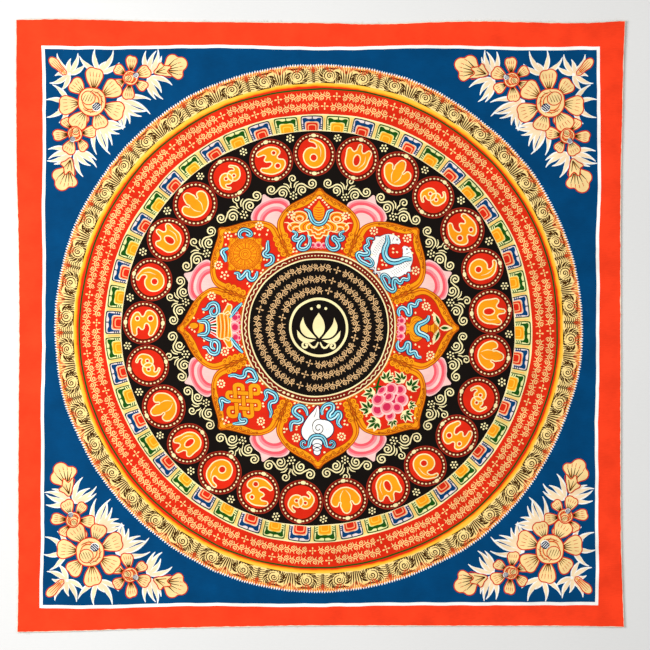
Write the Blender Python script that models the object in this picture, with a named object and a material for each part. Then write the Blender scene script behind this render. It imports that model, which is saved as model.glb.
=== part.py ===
"""A painted cotton canvas about 42 cm square, unmounted, lying flat with its painting up.

Units are metres. +Z points up out of the painted face and +Y to the top of the picture.
The origin is at the middle of the outline, on the surface that the canvas lies on.
"""

import bpy
from mathutils import Vector

COLLECTION_NAME = "thangka_canvas"
CANVAS_NAME = "painted_canvas"

# The cloth, its chalk ground and its paint together
CANVAS_THICKNESS = 0.0012

# The four cut corners, going anticlockwise as seen from above
BOTTOM_LEFT = Vector((-0.2091, -0.2115))
BOTTOM_RIGHT = Vector((0.2094, -0.2080))
TOP_RIGHT = Vector((0.2101, 0.2101))
TOP_LEFT = Vector((-0.2098, 0.2108))

# Each side was cut by hand. A row gives a place along the side, as a share of the way from
# its first corner, and how far the cut strays outwards there from the straight line.
BOTTOM_CUT = (
    # (share, stray)
    (0.095, -0.0004),
    (0.194, -0.0014),
    (0.268, -0.0019),
    (0.367, -0.0023),
    (0.466, -0.0026),
    (0.631, -0.0020),
    (0.796, -0.0014),
    (0.927, -0.0008),
)
RIGHT_CUT = (
    # (share, stray)
    (0.061, -0.0010),
    (0.144, -0.0020),
    (0.424, -0.0024),
    (0.754, -0.0025),
    (0.853, -0.0016),
    (0.936, -0.0010),
)
TOP_CUT = (
    # (share, stray)
    (0.066, -0.0014),
    (0.164, -0.0008),
    (0.238, -0.0002),
    (0.312, -0.0009),
    (0.411, -0.0023),
    (0.485, -0.0017),
    (0.633, -0.0011),
    (0.781, -0.0006),
    (0.929, 0.0007),
)
LEFT_CUT = (
    # (share, stray)
    (0.147, 0.0004),
    (0.245, 0.0002),
    (0.343, -0.0008),
    (0.490, -0.0014),
    (0.637, -0.0009),
    (0.784, -0.0005),
    (0.930, -0.0004),
)
CUT_STEPS = 4  # straight steps between two points of the outline
WELD_DISTANCE = 0.00005

RED_GROUND = (0.85, 0.07, 0.025, 1.0)
PAINT_ROUGHNESS = 0.7


def clear_scene():
    """Remove every object that the file opened with."""
    for item in list(bpy.data.objects):
        bpy.data.objects.remove(item, do_unlink=True)


def paint_material():
    """The opaque red ground paint of the margin."""
    material = bpy.data.materials.new("red_ground_paint")
    material.use_nodes = True
    shader = material.node_tree.nodes["Principled BSDF"]
    shader.inputs["Base Color"].default_value = RED_GROUND
    shader.inputs["Roughness"].default_value = PAINT_ROUGHNESS
    shader.inputs["Metallic"].default_value = 0.0
    return material


def side_points(first, last, cut):
    """One side's points between its corners, each moved outwards by its stray."""
    along = last - first
    outwards = Vector((along.y, -along.x)).normalized()
    return [first + along * share + outwards * stray for share, stray in cut]


def outline_points():
    """The whole outline anticlockwise, as (point, is_corner), centred on its own box."""
    corners = (BOTTOM_LEFT, BOTTOM_RIGHT, TOP_RIGHT, TOP_LEFT)
    cuts = (BOTTOM_CUT, RIGHT_CUT, TOP_CUT, LEFT_CUT)
    points = []
    for index, cut in enumerate(cuts):
        first = corners[index]
        last = corners[(index + 1) % len(corners)]
        points.append((first, True))
        points.extend((point, False) for point in side_points(first, last, cut))
    lowest = Vector((min(p.x for p, _ in points), min(p.y for p, _ in points)))
    highest = Vector((max(p.x for p, _ in points), max(p.y for p, _ in points)))
    middle = (lowest + highest) / 2
    return [(point - middle, is_corner) for point, is_corner in points]


def make_canvas(collection):
    """The canvas, as one flat sheet with its hand-cut outline."""
    points = outline_points()
    curve = bpy.data.curves.new(CANVAS_NAME, "CURVE")
    curve.dimensions = "2D"
    curve.fill_mode = "BOTH"
    curve.extrude = CANVAS_THICKNESS / 2
    spline = curve.splines.new("BEZIER")
    spline.bezier_points.add(len(points) - 1)
    spline.use_cyclic_u = True
    spline.resolution_u = CUT_STEPS
    for bezier_point, (place, is_corner) in zip(spline.bezier_points, points):
        handle = "VECTOR" if is_corner else "AUTO"
        bezier_point.co = (place.x, place.y, 0.0)
        bezier_point.handle_left_type = handle
        bezier_point.handle_right_type = handle
    canvas = bpy.data.objects.new(CANVAS_NAME, curve)
    canvas.location = (0.0, 0.0, CANVAS_THICKNESS / 2)
    collection.objects.link(canvas)
    weld = canvas.modifiers.new("weld_caps", "WELD")
    weld.merge_threshold = WELD_DISTANCE
    curve.materials.append(paint_material())
    return canvas


def main():
    clear_scene()
    collection = bpy.data.collections.new(COLLECTION_NAME)
    bpy.context.scene.collection.children.link(collection)
    make_canvas(collection)


main()
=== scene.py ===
import math
import random

import bpy
import numpy as np
from bpy.props import FloatProperty, FloatVectorProperty, PointerProperty
from mathutils import Matrix, Vector


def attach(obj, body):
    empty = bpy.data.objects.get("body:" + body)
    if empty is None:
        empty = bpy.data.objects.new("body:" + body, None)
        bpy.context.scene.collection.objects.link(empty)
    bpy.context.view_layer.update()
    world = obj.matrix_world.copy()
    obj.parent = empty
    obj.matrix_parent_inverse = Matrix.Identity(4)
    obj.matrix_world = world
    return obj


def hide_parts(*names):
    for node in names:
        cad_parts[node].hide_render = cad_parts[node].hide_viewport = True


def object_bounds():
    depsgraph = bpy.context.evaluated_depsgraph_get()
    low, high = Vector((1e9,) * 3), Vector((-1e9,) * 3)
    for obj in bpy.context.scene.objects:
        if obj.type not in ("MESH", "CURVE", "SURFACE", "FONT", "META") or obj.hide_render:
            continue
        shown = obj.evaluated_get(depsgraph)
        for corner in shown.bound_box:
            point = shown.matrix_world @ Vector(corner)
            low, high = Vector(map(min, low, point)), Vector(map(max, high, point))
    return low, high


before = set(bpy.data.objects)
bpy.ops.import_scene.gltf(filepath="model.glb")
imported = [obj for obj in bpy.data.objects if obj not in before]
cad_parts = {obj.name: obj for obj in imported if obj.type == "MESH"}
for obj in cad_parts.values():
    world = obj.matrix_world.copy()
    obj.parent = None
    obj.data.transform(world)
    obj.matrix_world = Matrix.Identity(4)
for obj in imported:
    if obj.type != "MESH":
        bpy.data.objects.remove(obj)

bl_info = {
    "name": "Painted mandala canvas",
    "version": (1, 0, 0),
    "blender": (4, 5, 0),
    "location": "3D View > Sidebar > Mandala",
    "description": "Paints a round mandala on a flat piece of primed cotton",
    "category": "Add Mesh",
}

CAD_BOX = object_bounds()
CAD_NODE = "painted_canvas"
MM = 0.001

# Each coat of paint stands this much proud of the one under it
COAT = 0.03 * MM
SUNK = 0.02 * MM
# The ridge of a brush stroke, as a share of its half-width, and how far its foot is sunk
RIDGE = 0.16
STROKE_SINK = 1.1 * COAT
# No stroke or dot rises further than this, however broad it is
MARK_HEIGHT = 0.05 * MM
# Films of one coat that cross are kept this far apart
HAIR = 0.003 * MM

# How little light the matt paints throw straight back, and how rough they are
SHINE = 0.03
ROUGHNESS = 0.62

# The slow strays of the painter's hand: wave length, direction, phase and size
HAND_WAVES = (
    (0.19, 0.4, 0.3, 0.45 * MM),
    (0.11, 2.1, 1.9, 0.32 * MM),
    (0.061, 1.2, 4.4, 0.2 * MM),
    (0.034, 2.8, 2.6, 0.12 * MM),
    (0.017, 0.9, 5.5, 0.06 * MM),
)

# Where the corners start to lift and over how far, in half-widths of the cloth
LIFT_START = 1.02
LIFT_SPAN = 0.4


def srgb(red, green, blue):
    """A screen colour, from 0 to 255, as the linear colour that shaders take."""
    shares = (red / 255, green / 255, blue / 255)
    return tuple(s / 12.92 if s < 0.04045 else ((s + 0.055) / 1.055) ** 2.4 for s in shares)


def label(key):
    """The name that a size or a paint has in the sidebar."""
    return key.replace("_", " ").capitalize()


def sizes_in(rows):
    """Sizes in millimetres that a user may change, as properties in metres."""
    return {
        key: FloatProperty(
            name=label(key), description=words, default=size * MM, unit="LENGTH", precision=5
        )
        for key, words, size in rows
    }


def colours_in(rows):
    """Paints that a user may change."""
    return {
        key: FloatVectorProperty(
            name=label(key), description=words, default=srgb(*rgb), min=0, max=1, subtype="COLOR"
        )
        for key, words, *rgb in rows
    }


class ClothSizes(bpy.types.PropertyGroup):
    """Sizes of the cloth itself."""

    __annotations__ = sizes_in((
        ("thickness", "Cloth and chalk ground together", 1),
        ("thread", "From one thread of the weave to the next", 0.62),
        ("swell", "How high the lying cloth rises and falls", 0.08),
        ("corner_lift", "How far the cut corners stand off the table", 0.7),
        ("bare_edge", "Unpainted cloth left along the cut", 0.55),
    ))


class MandalaSizes(bpy.types.PropertyGroup):
    """Where each ring of the mandala starts, from its middle outwards."""

    __annotations__ = sizes_in((
        ("frame_line", "Width of the white line round the blue ground", 2.2),
        ("centre_x", "How far right the mandala's middle lies", -1.45),
        ("centre_y", "How far up the mandala's middle lies", -1.73),
        ("heart", "Radius of the small round field in the middle", 18.5),
        ("heart_ring", "Outer radius of the cream ring round it", 20.2),
        ("dark_field", "Outer radius of the black field with three vines", 47.6),
        ("bead_band", "Outer radius of the maroon band of beads", 52.4),
        ("medallions", "Radius of the circle that the medallions sit on", 120.1),
        ("night", "Outer radius of the black ground", 136.2),
        ("blocks", "Outer radius of the ring of blocks", 147.6),
        ("red_band", "Outer radius of the red band with two vines", 165.3),
        ("rainbow", "Outer radius of the narrow shaded band", 169.3),
        ("scrolls", "Outer radius of the golden ring of scrolls", 181.8),
    ))


class PaintColours(bpy.types.PropertyGroup):
    """The paints on the painter's table, each in the screen's red, green and blue."""

    __annotations__ = colours_in((
        ("cotton", "Primed cloth at the cut edge and on the back", 240, 226, 200),
        ("vermilion", "Margin round the picture", 255, 65, 31),
        ("blue", "Ground behind the mandala", 0, 66, 113),
        ("white", "Frame line, teeth and leaves", 255, 252, 244),
        ("gold", "Ground of the scroll ring", 250, 218, 142),
        ("soot", "Fine dark line work", 44, 26, 6),
        ("black", "Ground of the dark fields", 20, 15, 12),
        ("scarlet", "Band with two vines", 220, 43, 17),
        ("cream", "Fine light lines, curls and beads", 255, 236, 176),
        ("moss", "Dark green lines", 32, 78, 22),
        ("maroon", "Rims of the medallions and band of beads", 118, 24, 12),
        ("apricot", "Outer shade of the scroll ring", 250, 178, 86),
        ("orange", "Petals, ornaments and arches", 255, 156, 21),
        ("amber", "Bright yellow edges", 252, 196, 66),
        ("straw", "Ground between the blocks", 238, 214, 130),
        ("mint", "Pale band of the green blocks", 236, 234, 160),
        ("shell", "Pale band of the blue blocks", 238, 220, 214),
        ("leaf", "Green of roofs and leaves", 24, 78, 16),
        ("deep_blue", "Roofs of the blue blocks", 6, 60, 108),
        ("ink", "Lines of the blue blocks", 24, 46, 62),
        ("red", "Arches, medallions and petal fields", 218, 41, 19),
        ("peach", "Pale edges against red", 252, 178, 120),
        ("wheat", "Vines on the red band", 250, 212, 136),
        ("tan", "Vines on the dark field", 226, 182, 128),
        ("blush", "Palest pink", 250, 200, 192),
        ("pink", "Middle pink", 246, 142, 148),
        ("rose", "Deepest pink", 214, 44, 84),
        ("umber", "Engraving on the orange petals", 164, 68, 8),
        ("sky", "Ribbons and scarves", 126, 208, 226),
        ("navy", "Lines round ribbons and scarves", 6, 34, 72),
        ("foam", "Light along the ribbons", 208, 244, 246),
        ("bistre", "Engraving on the golden ring", 66, 36, 4),
        ("honey", "Flower petals in the corners", 252, 217, 150),
        ("coral", "Deep bands of the pink petals", 248, 92, 104),
        ("russet", "Lit rims of the medallions", 156, 48, 30),
        ("flame", "Outer strokes of the scroll ring", 206, 70, 28),
        ("rust", "Lines on the corner flowers", 214, 54, 22),
        ("caramel", "Shade at the feet of the corner flowers' petals", 240, 172, 96),
        ("ochre", "Shade along the edges of the orange petals", 204, 94, 12),
        ("bisque", "Warm strokes along the white leaves", 253, 224, 182),
    ))


def settings():
    return bpy.context.scene.mandala_canvas


def only(*things):
    """Select just these objects, the first of them active."""
    bpy.ops.object.select_all(action="DESELECT")
    for thing in things:
        thing.select_set(True)
    bpy.context.view_layer.objects.active = things[0]


def in_edit_mode(step, **words):
    """Do one step of modelling on everything in the active object."""
    bpy.ops.object.mode_set(mode="EDIT")
    bpy.ops.mesh.select_all(action="SELECT")
    step(**words)
    bpy.ops.object.mode_set(mode="OBJECT")


def places_of(mesh):
    flat = np.empty(len(mesh.vertices) * 3)
    mesh.vertices.foreach_get("co", flat)
    return flat.reshape(-1, 3)


def put_places(mesh, places):
    mesh.vertices.foreach_set("co", places.ravel())
    mesh.update()


def cloth_rise(x, y):
    """How far the lying cloth stands off the table at a place, all over its face."""
    sizes = settings().cloth
    half = CAD_BOX[1].x
    # Slow waves, in radians for each metre across and up
    ripple = np.sin(x * 29 + 0.6) * np.cos(y * 24 + 1.1)
    slanting = np.sin(y * 31 - x * 13 + 2)
    reach = np.clip((np.hypot(x, y) / half - LIFT_START) / LIFT_SPAN, 0, 1)
    uneven = 1 + 0.35 * np.sin(3 * x / half - 2 * y / half)
    lifted = sizes.corner_lift * (reach * reach * uneven)
    return sizes.swell * (2 + (ripple + slanting)) / 2 + lifted


def hand_drift(x, y):
    """How far the painter's hand strays from the plan, the same for every coat of paint."""
    drift_x = np.zeros_like(x)
    drift_y = np.zeros_like(y)
    for wave, way, phase, size in HAND_WAVES:
        along = (x * math.cos(way) + y * math.sin(way)) * math.tau / wave + phase
        drift_x += size * np.sin(along)
        drift_y += size * np.cos(1.3 * along + phase)
    return drift_x, drift_y


def settle(piece, paint_name, coat, material=None, drifts=True):
    """Lay a flat piece of paint on the cloth, finish its surface and parent it to the root body's
    empty.
    """
    mesh = piece.data
    places = places_of(mesh)
    x, y = places[:, 0], places[:, 1]
    if drifts:
        drift_x, drift_y = hand_drift(x, y)
        x += drift_x
        y += drift_y
    places[:, 2] += settings().cloth.thickness + coat * COAT + cloth_rise(x, y)
    put_places(mesh, places)
    only(piece)
    bpy.ops.object.shade_smooth_by_angle(angle=math.radians(40))
    look_down_map(mesh)
    mesh.materials.clear()
    mesh.materials.append(material or paint_material(paint_name))
    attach(piece, "root")
    return piece


def look_down_map(mesh):
    """A map of the piece as seen from straight above, one share of its width across."""
    corners = np.empty(len(mesh.loops), dtype=np.int64)
    mesh.loops.foreach_get("vertex_index", corners)
    places = places_of(mesh)[:, :2]
    low = places.min(axis=0)
    span = (places.max(axis=0) - low).max()
    while mesh.uv_layers:
        mesh.uv_layers.remove(mesh.uv_layers[0])
    layer = mesh.uv_layers.new(name="OFBake")
    layer.uv.foreach_set("vector", ((places[corners] - low) / span * 0.99 + 0.005).ravel())

# --- paints


def new_group(name, outputs, **inputs):
    """An empty shader node group with number inputs, given with their defaults."""
    group = bpy.data.node_groups.new(name, "ShaderNodeTree")
    for label, default in inputs.items():
        socket = group.interface.new_socket(label, in_out="INPUT", socket_type="NodeSocketFloat")
        socket.default_value = default
    for label in outputs:
        group.interface.new_socket(label, in_out="OUTPUT", socket_type="NodeSocketFloat")
    return group, group.nodes.new("NodeGroupInput"), group.nodes.new("NodeGroupOutput")


def math_node(tree, operation, first, second=None):
    """One Math node; each of its values is a number or another node's socket."""
    node = tree.nodes.new("ShaderNodeMath")
    node.operation = operation
    for socket, value in zip(node.inputs, (first, second)):
        if isinstance(value, bpy.types.NodeSocket):
            tree.links.new(value, socket)
        elif value is not None:
            socket.default_value = value
    return node.outputs[0]


def noise_node(tree, place, scale, detail=2):
    node = tree.nodes.new("ShaderNodeTexNoise")
    node.inputs["Scale"].default_value = scale
    node.inputs["Detail"].default_value = detail
    tree.links.new(place, node.inputs["Vector"])
    return node.outputs["Fac"]


def stretched(tree, place, x, y, z):
    """The place with its axes scaled, which draws a pattern out along one of them."""
    node = tree.nodes.new("ShaderNodeMapping")
    node.inputs["Scale"].default_value = (x, y, z)
    tree.links.new(place, node.inputs["Vector"])
    return node.outputs["Vector"]


def weave_group():
    """Plain weave of the cotton, half filled by its chalk ground, as a height."""
    found = bpy.data.node_groups.get("cotton_weave")
    if found:
        return found
    group, given, out = new_group("cotton_weave", ["Height", "Slub"], Thread=0.62 * MM)
    place = group.nodes.new("ShaderNodeTexCoord").outputs["Object"]
    split = group.nodes.new("ShaderNodeSeparateXYZ")
    group.links.new(place, split.inputs[0])
    turn = math_node(group, "DIVIDE", math.pi, given.outputs["Thread"])
    sway = math_node(group, "MULTIPLY", noise_node(group, place, 260), 1.6)
    across = math_node(group, "SINE", math_node(group, "MULTIPLY_ADD", split.outputs[0], turn))
    along = math_node(group, "SINE", math_node(group, "MULTIPLY_ADD", split.outputs[1], turn))
    for wave in (across, along):
        group.links.new(sway, wave.node.inputs[0].links[0].from_node.inputs[2])
    over = math_node(group, "MULTIPLY", across, along)
    warp_slub = noise_node(group, stretched(group, place, 90, 1500, 1), 1, 1)
    weft_slub = noise_node(group, stretched(group, place, 1500, 90, 1), 1, 1)
    slub = math_node(group, "ADD", warp_slub, weft_slub)
    height = math_node(group, "MULTIPLY_ADD", over, 0.35)
    group.links.new(slub, height.node.inputs[2])
    group.links.new(height, out.inputs["Height"])
    group.links.new(slub, out.inputs["Slub"])
    return group


def pigment_group():
    """How thick and even the paint went on: broad patches, brush marks and fine grain."""
    found = bpy.data.node_groups.get("laid_pigment")
    if found:
        return found
    group, given, out = new_group("laid_pigment", ["Density", "Grain"], Patch=60, Grain=2600)
    place = group.nodes.new("ShaderNodeTexCoord").outputs["Object"]
    patch = noise_node(group, place, 60, 3)
    group.links.new(given.outputs["Patch"], patch.node.inputs["Scale"])
    marks = noise_node(group, stretched(group, place, 240, 1400, 1), 1, 2)
    grain = noise_node(group, place, 2600, 1)
    group.links.new(given.outputs["Grain"], grain.node.inputs["Scale"])
    mixed = math_node(group, "MULTIPLY_ADD", marks, 0.4)
    group.links.new(patch, mixed.node.inputs[2])
    low = math_node(group, "SUBTRACT", mixed, 0.7)
    spread = math_node(group, "MULTIPLY_ADD", low, 2.2)
    spread.node.inputs[2].default_value = 0.5
    spread.node.use_clamp = True
    group.links.new(spread, out.inputs["Density"])
    group.links.new(grain, out.inputs["Grain"])
    return group


def use_group(tree, group, **values):
    node = tree.nodes.new("ShaderNodeGroup")
    node.node_tree = group
    for label, value in values.items():
        node.inputs[label].default_value = value
    return node


def mix_colours(tree, share, first, second):
    """Mix two colours by a share; each is a colour or another node's socket."""
    node = tree.nodes.new("ShaderNodeMix")
    node.data_type = "RGBA"
    tree.links.new(share, node.inputs["Factor"])
    for socket, value in ((node.inputs[6], first), (node.inputs[7], second)):
        if isinstance(value, bpy.types.NodeSocket):
            tree.links.new(value, socket)
        else:
            socket.default_value = (*value, 1)
    return node.outputs[2]


def tinted(rgb, share):
    return tuple(min(1, part * share) for part in rgb)


def blank_material(name, roughness):
    material = bpy.data.materials.new(name)
    material.use_nodes = True
    shader = material.node_tree.nodes["Principled BSDF"]
    shader.inputs["Roughness"].default_value = roughness
    shader.inputs["Specular IOR Level"].default_value = SHINE
    return material, material.node_tree, shader


def add_surface(tree, shader, grain, weave_share):
    """Bump from the weave under the paint and from the grain in it."""
    weave = use_group(tree, weave_group(), Thread=settings().cloth.thread)
    height = math_node(tree, "MULTIPLY_ADD", weave.outputs["Height"], weave_share)
    tree.links.new(math_node(tree, "MULTIPLY", grain, 0.25), height.node.inputs[2])
    bump = tree.nodes.new("ShaderNodeBump")
    bump.inputs["Strength"].default_value = 0.5
    bump.inputs["Distance"].default_value = 0.06 * MM
    tree.links.new(height, bump.inputs["Height"])
    tree.links.new(bump.outputs["Normal"], shader.inputs["Normal"])


def paint_material(name):
    """Opaque matt paint with the unevenness that a brush leaves."""
    found = bpy.data.materials.get(name)
    if found:
        return found
    rgb = tuple(getattr(settings().paints, name))
    material, tree, shader = blank_material(name, ROUGHNESS)
    pigment = use_group(tree, pigment_group())
    deep, bright = (tinted(rgb, tint) for tint in (0.8, 1.06))
    base = mix_colours(tree, pigment.outputs["Density"], deep, bright)
    tree.links.new(base, shader.inputs["Base Color"])
    add_surface(tree, shader, pigment.outputs["Grain"], 1)
    material.diffuse_color = (*rgb, 1)
    return material



# --- shapes


def ground(name, columns, rows, place, depth, wraps=False):
    """A broad film of paint: a grid bent to place(u, v), given its depth below."""
    bpy.ops.object.select_all(action="DESELECT")
    bpy.ops.mesh.primitive_grid_add(x_subdivisions=columns, y_subdivisions=rows, size=1)
    film = bpy.context.object
    film.name = name
    film.data.name = name
    places = places_of(film.data)
    u, v = places[:, 0] + 0.5, places[:, 1] + 0.5
    places[:, 0], places[:, 1] = place(u, v)
    put_places(film.data, places)
    if wraps:
        in_edit_mode(bpy.ops.mesh.remove_doubles, threshold=0.01 * MM)
    in_edit_mode(bpy.ops.mesh.normals_make_consistent, inside=False)
    if film.data.polygons[0].normal.z < 0:
        in_edit_mode(bpy.ops.mesh.flip_normals)
    thick = film.modifiers.new("depth", "SOLIDIFY")
    thick.thickness = depth
    thick.offset = -1
    thick.use_even_offset = False
    only(film)
    bpy.ops.object.modifier_apply(modifier=thick.name)
    return film


def annulus(name, inner, outer, rows, depth):
    """A flat ring of paint round the mandala's middle."""
    sizes = settings().mandala

    def place(u, v):
        radius = inner + (outer - inner) * v
        return (
            sizes.centre_x + radius * np.sin(u * math.tau),
            sizes.centre_y + radius * np.cos(u * math.tau),
        )

    return ground(name, 256, rows, place, depth, wraps=True)


# --- marks
# A drawing is in millimetres. A stroke is (points, steps, closed) with points (x, y,
# half-width); an outline is a list of (x, y), or (x, y, 1) at a sharp corner; a dot is
# (x, y, half length, half width, turn in degrees).


def brush_section():
    """The low ridged section of a stroke, one half-width to each side."""
    curve = bpy.data.curves.new("brush_section", "CURVE")
    curve.dimensions = "2D"
    spline = curve.splines.new("POLY")
    spline.points.add(2)
    spline.use_cyclic_u = True
    for point, (x, y) in zip(spline.points, ((-1, 0), (0, RIDGE), (1, 0))):
        point.co = (x, y, 0, 1)
    return placed_object("brush_section", curve)


def placed_object(name, data):
    piece = bpy.data.objects.new(name, data)
    bpy.context.collection.objects.link(piece)
    return piece


def flattened(piece, base):
    """Keep broad marks as low as narrow ones, so that the next coat covers them."""
    places = places_of(piece.data)
    rise = places[:, 2] - base
    places[:, 2] = base + MARK_HEIGHT * (1 - np.exp(-rise / MARK_HEIGHT))
    put_places(piece.data, places)
    return piece


def brushed(name, strokes, lift):
    """Brush strokes as closed low ridges."""
    section = brush_section()
    curve = bpy.data.curves.new(name, "CURVE")
    curve.dimensions = "3D"
    curve.twist_mode = "Z_UP"
    curve.bevel_mode = "OBJECT"
    curve.bevel_object = section
    curve.use_fill_caps = True
    for points, steps, closed in strokes:
        spline = curve.splines.new("BEZIER")
        spline.bezier_points.add(len(points) - 1)
        spline.resolution_u = steps
        spline.use_cyclic_u = closed
        for knot, (x, y, half) in zip(spline.bezier_points, points):
            knot.co = (x * MM, y * MM, lift - STROKE_SINK)
            knot.radius = half * MM
            knot.handle_left_type = knot.handle_right_type = "AUTO"
    shape = placed_object(name, curve)
    only(shape)
    bpy.ops.object.convert(target="MESH")
    bpy.data.objects.remove(section)
    return flattened(shape, lift - STROKE_SINK)


def filled(name, outlines, lift, depth, steps):
    """Flat films with the given outlines."""
    shapes = []
    for index, points in enumerate(outlines):
        curve = bpy.data.curves.new(name, "CURVE")
        curve.dimensions = "2D"
        curve.fill_mode = "BOTH"
        curve.extrude = depth / 2
        spline = curve.splines.new("BEZIER")
        spline.bezier_points.add(len(points) - 1)
        spline.resolution_u = steps
        spline.use_cyclic_u = True
        for knot, point in zip(spline.bezier_points, points):
            kind = "VECTOR" if len(point) > 2 and point[2] else "AUTO"
            knot.co = (point[0] * MM, point[1] * MM, 0)
            knot.handle_left_type = knot.handle_right_type = kind
        shapes.append(placed_object(name, curve))
        shapes[-1].location = (0, 0, lift + index % 7 * HAIR - depth / 2)
    only(*shapes)
    bpy.ops.object.convert(target="MESH")
    bpy.ops.object.transform_apply(location=True, rotation=False, scale=False)
    if len(shapes) > 1:
        bpy.ops.object.join()
    return bpy.context.view_layer.objects.active


# Each step of a dab's low dome, as (rise, shrink)
DAB_STEPS = ((0.12, 0.94), (0.08, 0.58))


def bead(name):
    """A low round dab of paint, one unit in radius."""
    bpy.ops.object.select_all(action="DESELECT")
    bpy.ops.mesh.primitive_circle_add(vertices=8, radius=1, fill_type="NGON")
    dab = bpy.context.object
    dab.name = name
    for rise, shrink in DAB_STEPS:
        bpy.ops.object.mode_set(mode="EDIT")
        bpy.ops.mesh.extrude_region_move(TRANSFORM_OT_translate={"value": (0, 0, rise)})
        bpy.ops.transform.resize(value=(shrink, shrink, 1))
        bpy.ops.object.mode_set(mode="OBJECT")
    in_edit_mode(bpy.ops.mesh.normals_make_consistent, inside=False)
    return dab


def repeated(unit, places):
    """A copy of a unit's mesh at each place, in one object that takes the unit's name."""
    mesh = unit.data
    flat = places_of(mesh)
    faces = [tuple(face.vertices) for face in mesh.polygons]
    all_places, all_faces = [], []
    for index, place in enumerate(places):
        turn = np.array(place.to_3x3())
        all_places.append(flat @ turn.T + np.array(place.translation))
        first = index * len(flat)
        flips = place.to_3x3().determinant() < 0
        for face in faces:
            moved = [first + corner for corner in face]
            all_faces.append(moved[::-1] if flips else moved)
    result = bpy.data.meshes.new(unit.name)
    result.from_pydata(np.concatenate(all_places).tolist(), [], all_faces)
    unit.data = result
    bpy.data.meshes.remove(mesh)
    return unit


def dabbed(name, dots, lift):
    places = [
        Matrix.Translation((x * MM, y * MM, lift - STROKE_SINK))
        @ Matrix.Rotation(math.radians(turn), 4, "Z")
        @ Matrix.Diagonal((long * MM, wide * MM, min(long, wide) * MM, 1))
        for x, y, long, wide, turn in dots
    ]
    return flattened(repeated(bead(name), places), lift - STROKE_SINK)


HERE = (Matrix.Identity(4),)


def layer(coat, marks, steps=3):
    """What one coat of one paint holds: its outlines, its strokes and its dots."""
    fills = [mark for mark in marks if isinstance(mark, list)]
    strokes = [mark for mark in marks if isinstance(mark, tuple) and isinstance(mark[0], list)]
    spots = [mark for mark in marks if isinstance(mark, tuple) and not isinstance(mark[0], list)]
    return coat, fills, strokes, spots, steps


def paint(name, paint_name, *layers, places=HERE, material=None):
    """Everything in one paint: the marks of its layers, at each of the places."""
    base = layers[0][0]
    parts = []
    for coat, fills, strokes, dots, steps in layers:
        lift = (coat - base) * COAT
        if strokes:
            parts.append(brushed(name, strokes, lift))
        if fills:
            parts.append(filled(name, fills, lift, coat * COAT + SUNK, steps))
        if dots:
            parts.append(dabbed(name, dots, lift))
    only(*parts)
    if len(parts) > 1:
        bpy.ops.object.join()
    unit = bpy.context.view_layer.objects.active
    in_edit_mode(bpy.ops.mesh.remove_doubles, threshold=0.0005 * MM)
    in_edit_mode(bpy.ops.mesh.normals_make_consistent, inside=False)
    unit.name = name
    if places is not HERE:
        repeated(unit, places)
    unit.data.name = name
    return settle(unit, paint_name, base, material)


def paint_all(rows, places):
    """Paint a table of pieces: each one's name, its paint, and (coat, marks, steps) by layer."""
    for name, paint_name, *coats in rows:
        paint(name, paint_name, *(layer(*coat) for coat in coats), places=places)


def middle():
    sizes = settings().mandala
    return Matrix.Translation((sizes.centre_x, sizes.centre_y, 0))


def turned(degrees):
    return Matrix.Rotation(-math.radians(degrees), 4, "Z")


# How far a shaken place may turn, in degrees, and by what share its size may stray
SHAKEN_TURN = 2
SHAKEN_SIZE = 0.03


def around(count, first=0, radius=0, shake=0, seed=3, pivot=0):
    """Places round the mandala's middle, each with its +Y outwards. With a shake, each one is
    a little unsteady about a point at the pivot radius."""
    hand = random.Random(seed)
    places = []
    for index in range(count):
        swing = first + 360 * index / count
        place = middle() @ turned(swing) @ Matrix.Translation((0, radius, 0))
        if shake:
            across, up = (hand.uniform(-shake, shake) for _ in range(2))
            size = 1 + hand.uniform(-SHAKEN_SIZE, SHAKEN_SIZE)
            place = place @ Matrix.Translation((across, pivot + up, 0))
            place = place @ turned(hand.uniform(-SHAKEN_TURN, SHAKEN_TURN))
            place = place @ Matrix.Diagonal((size, size, 1, 1))
            place = place @ Matrix.Translation((0, -pivot, 0))
        places.append(place)
    return places


def line(points, half, steps=3, tips=(0.25, 0.25)):
    """A stroke through points, swelling in the middle; tips are the shares at its two ends."""
    last = len(points) - 1
    stroke = []
    for index, (x, y) in enumerate(points):
        share = index / last
        ends = tips[0] * (1 - share) + tips[1] * share
        swell = ends + (1 - ends) * math.sin(math.pi * share) ** 0.6
        stroke.append((x, y, half * swell))
    return stroke, steps, False


def rim_point(x, y, radius, angle, squash=1):
    """A place on a circle round (x, y)."""
    return x + radius * math.cos(angle), y + radius * math.sin(angle) * squash


def spiral(x, y, radius, turns, start, half, hand=1, core=0.15, per_turn=7, steps=2, squash=1):
    """A curl that winds in from its radius; start is where it begins, in degrees from +X."""
    count = max(3, round(abs(turns) * per_turn))
    points = []
    for index in range(count + 1):
        share = index / count
        angle = math.radians(start) + hand * share * turns * math.tau
        reach = radius * (1 - (1 - core) * share)
        points.append(rim_point(x, y, reach, angle, squash))
    return line(points, half, steps, (0.5, 0.9))


def circle(x, y, radius, points=8, squash=1):
    """A round outline."""
    turns = [math.tau * index / points for index in range(points)]
    return [rim_point(x, y, radius, turn, squash) for turn in turns]


def border(outline, half, steps=3):
    """A stroke that follows an outline all the way round."""
    return [(point[0], point[1], half) for point in outline], steps, True


def flipped(points):
    """Points mirrored across the middle line, in the other order."""
    return [(-point[0], *point[1:]) for point in reversed(points)]


def whole(half):
    """A mirror-symmetric outline from its right half, listed from its top to its foot."""
    return half + flipped(half[1:-1])


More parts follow.
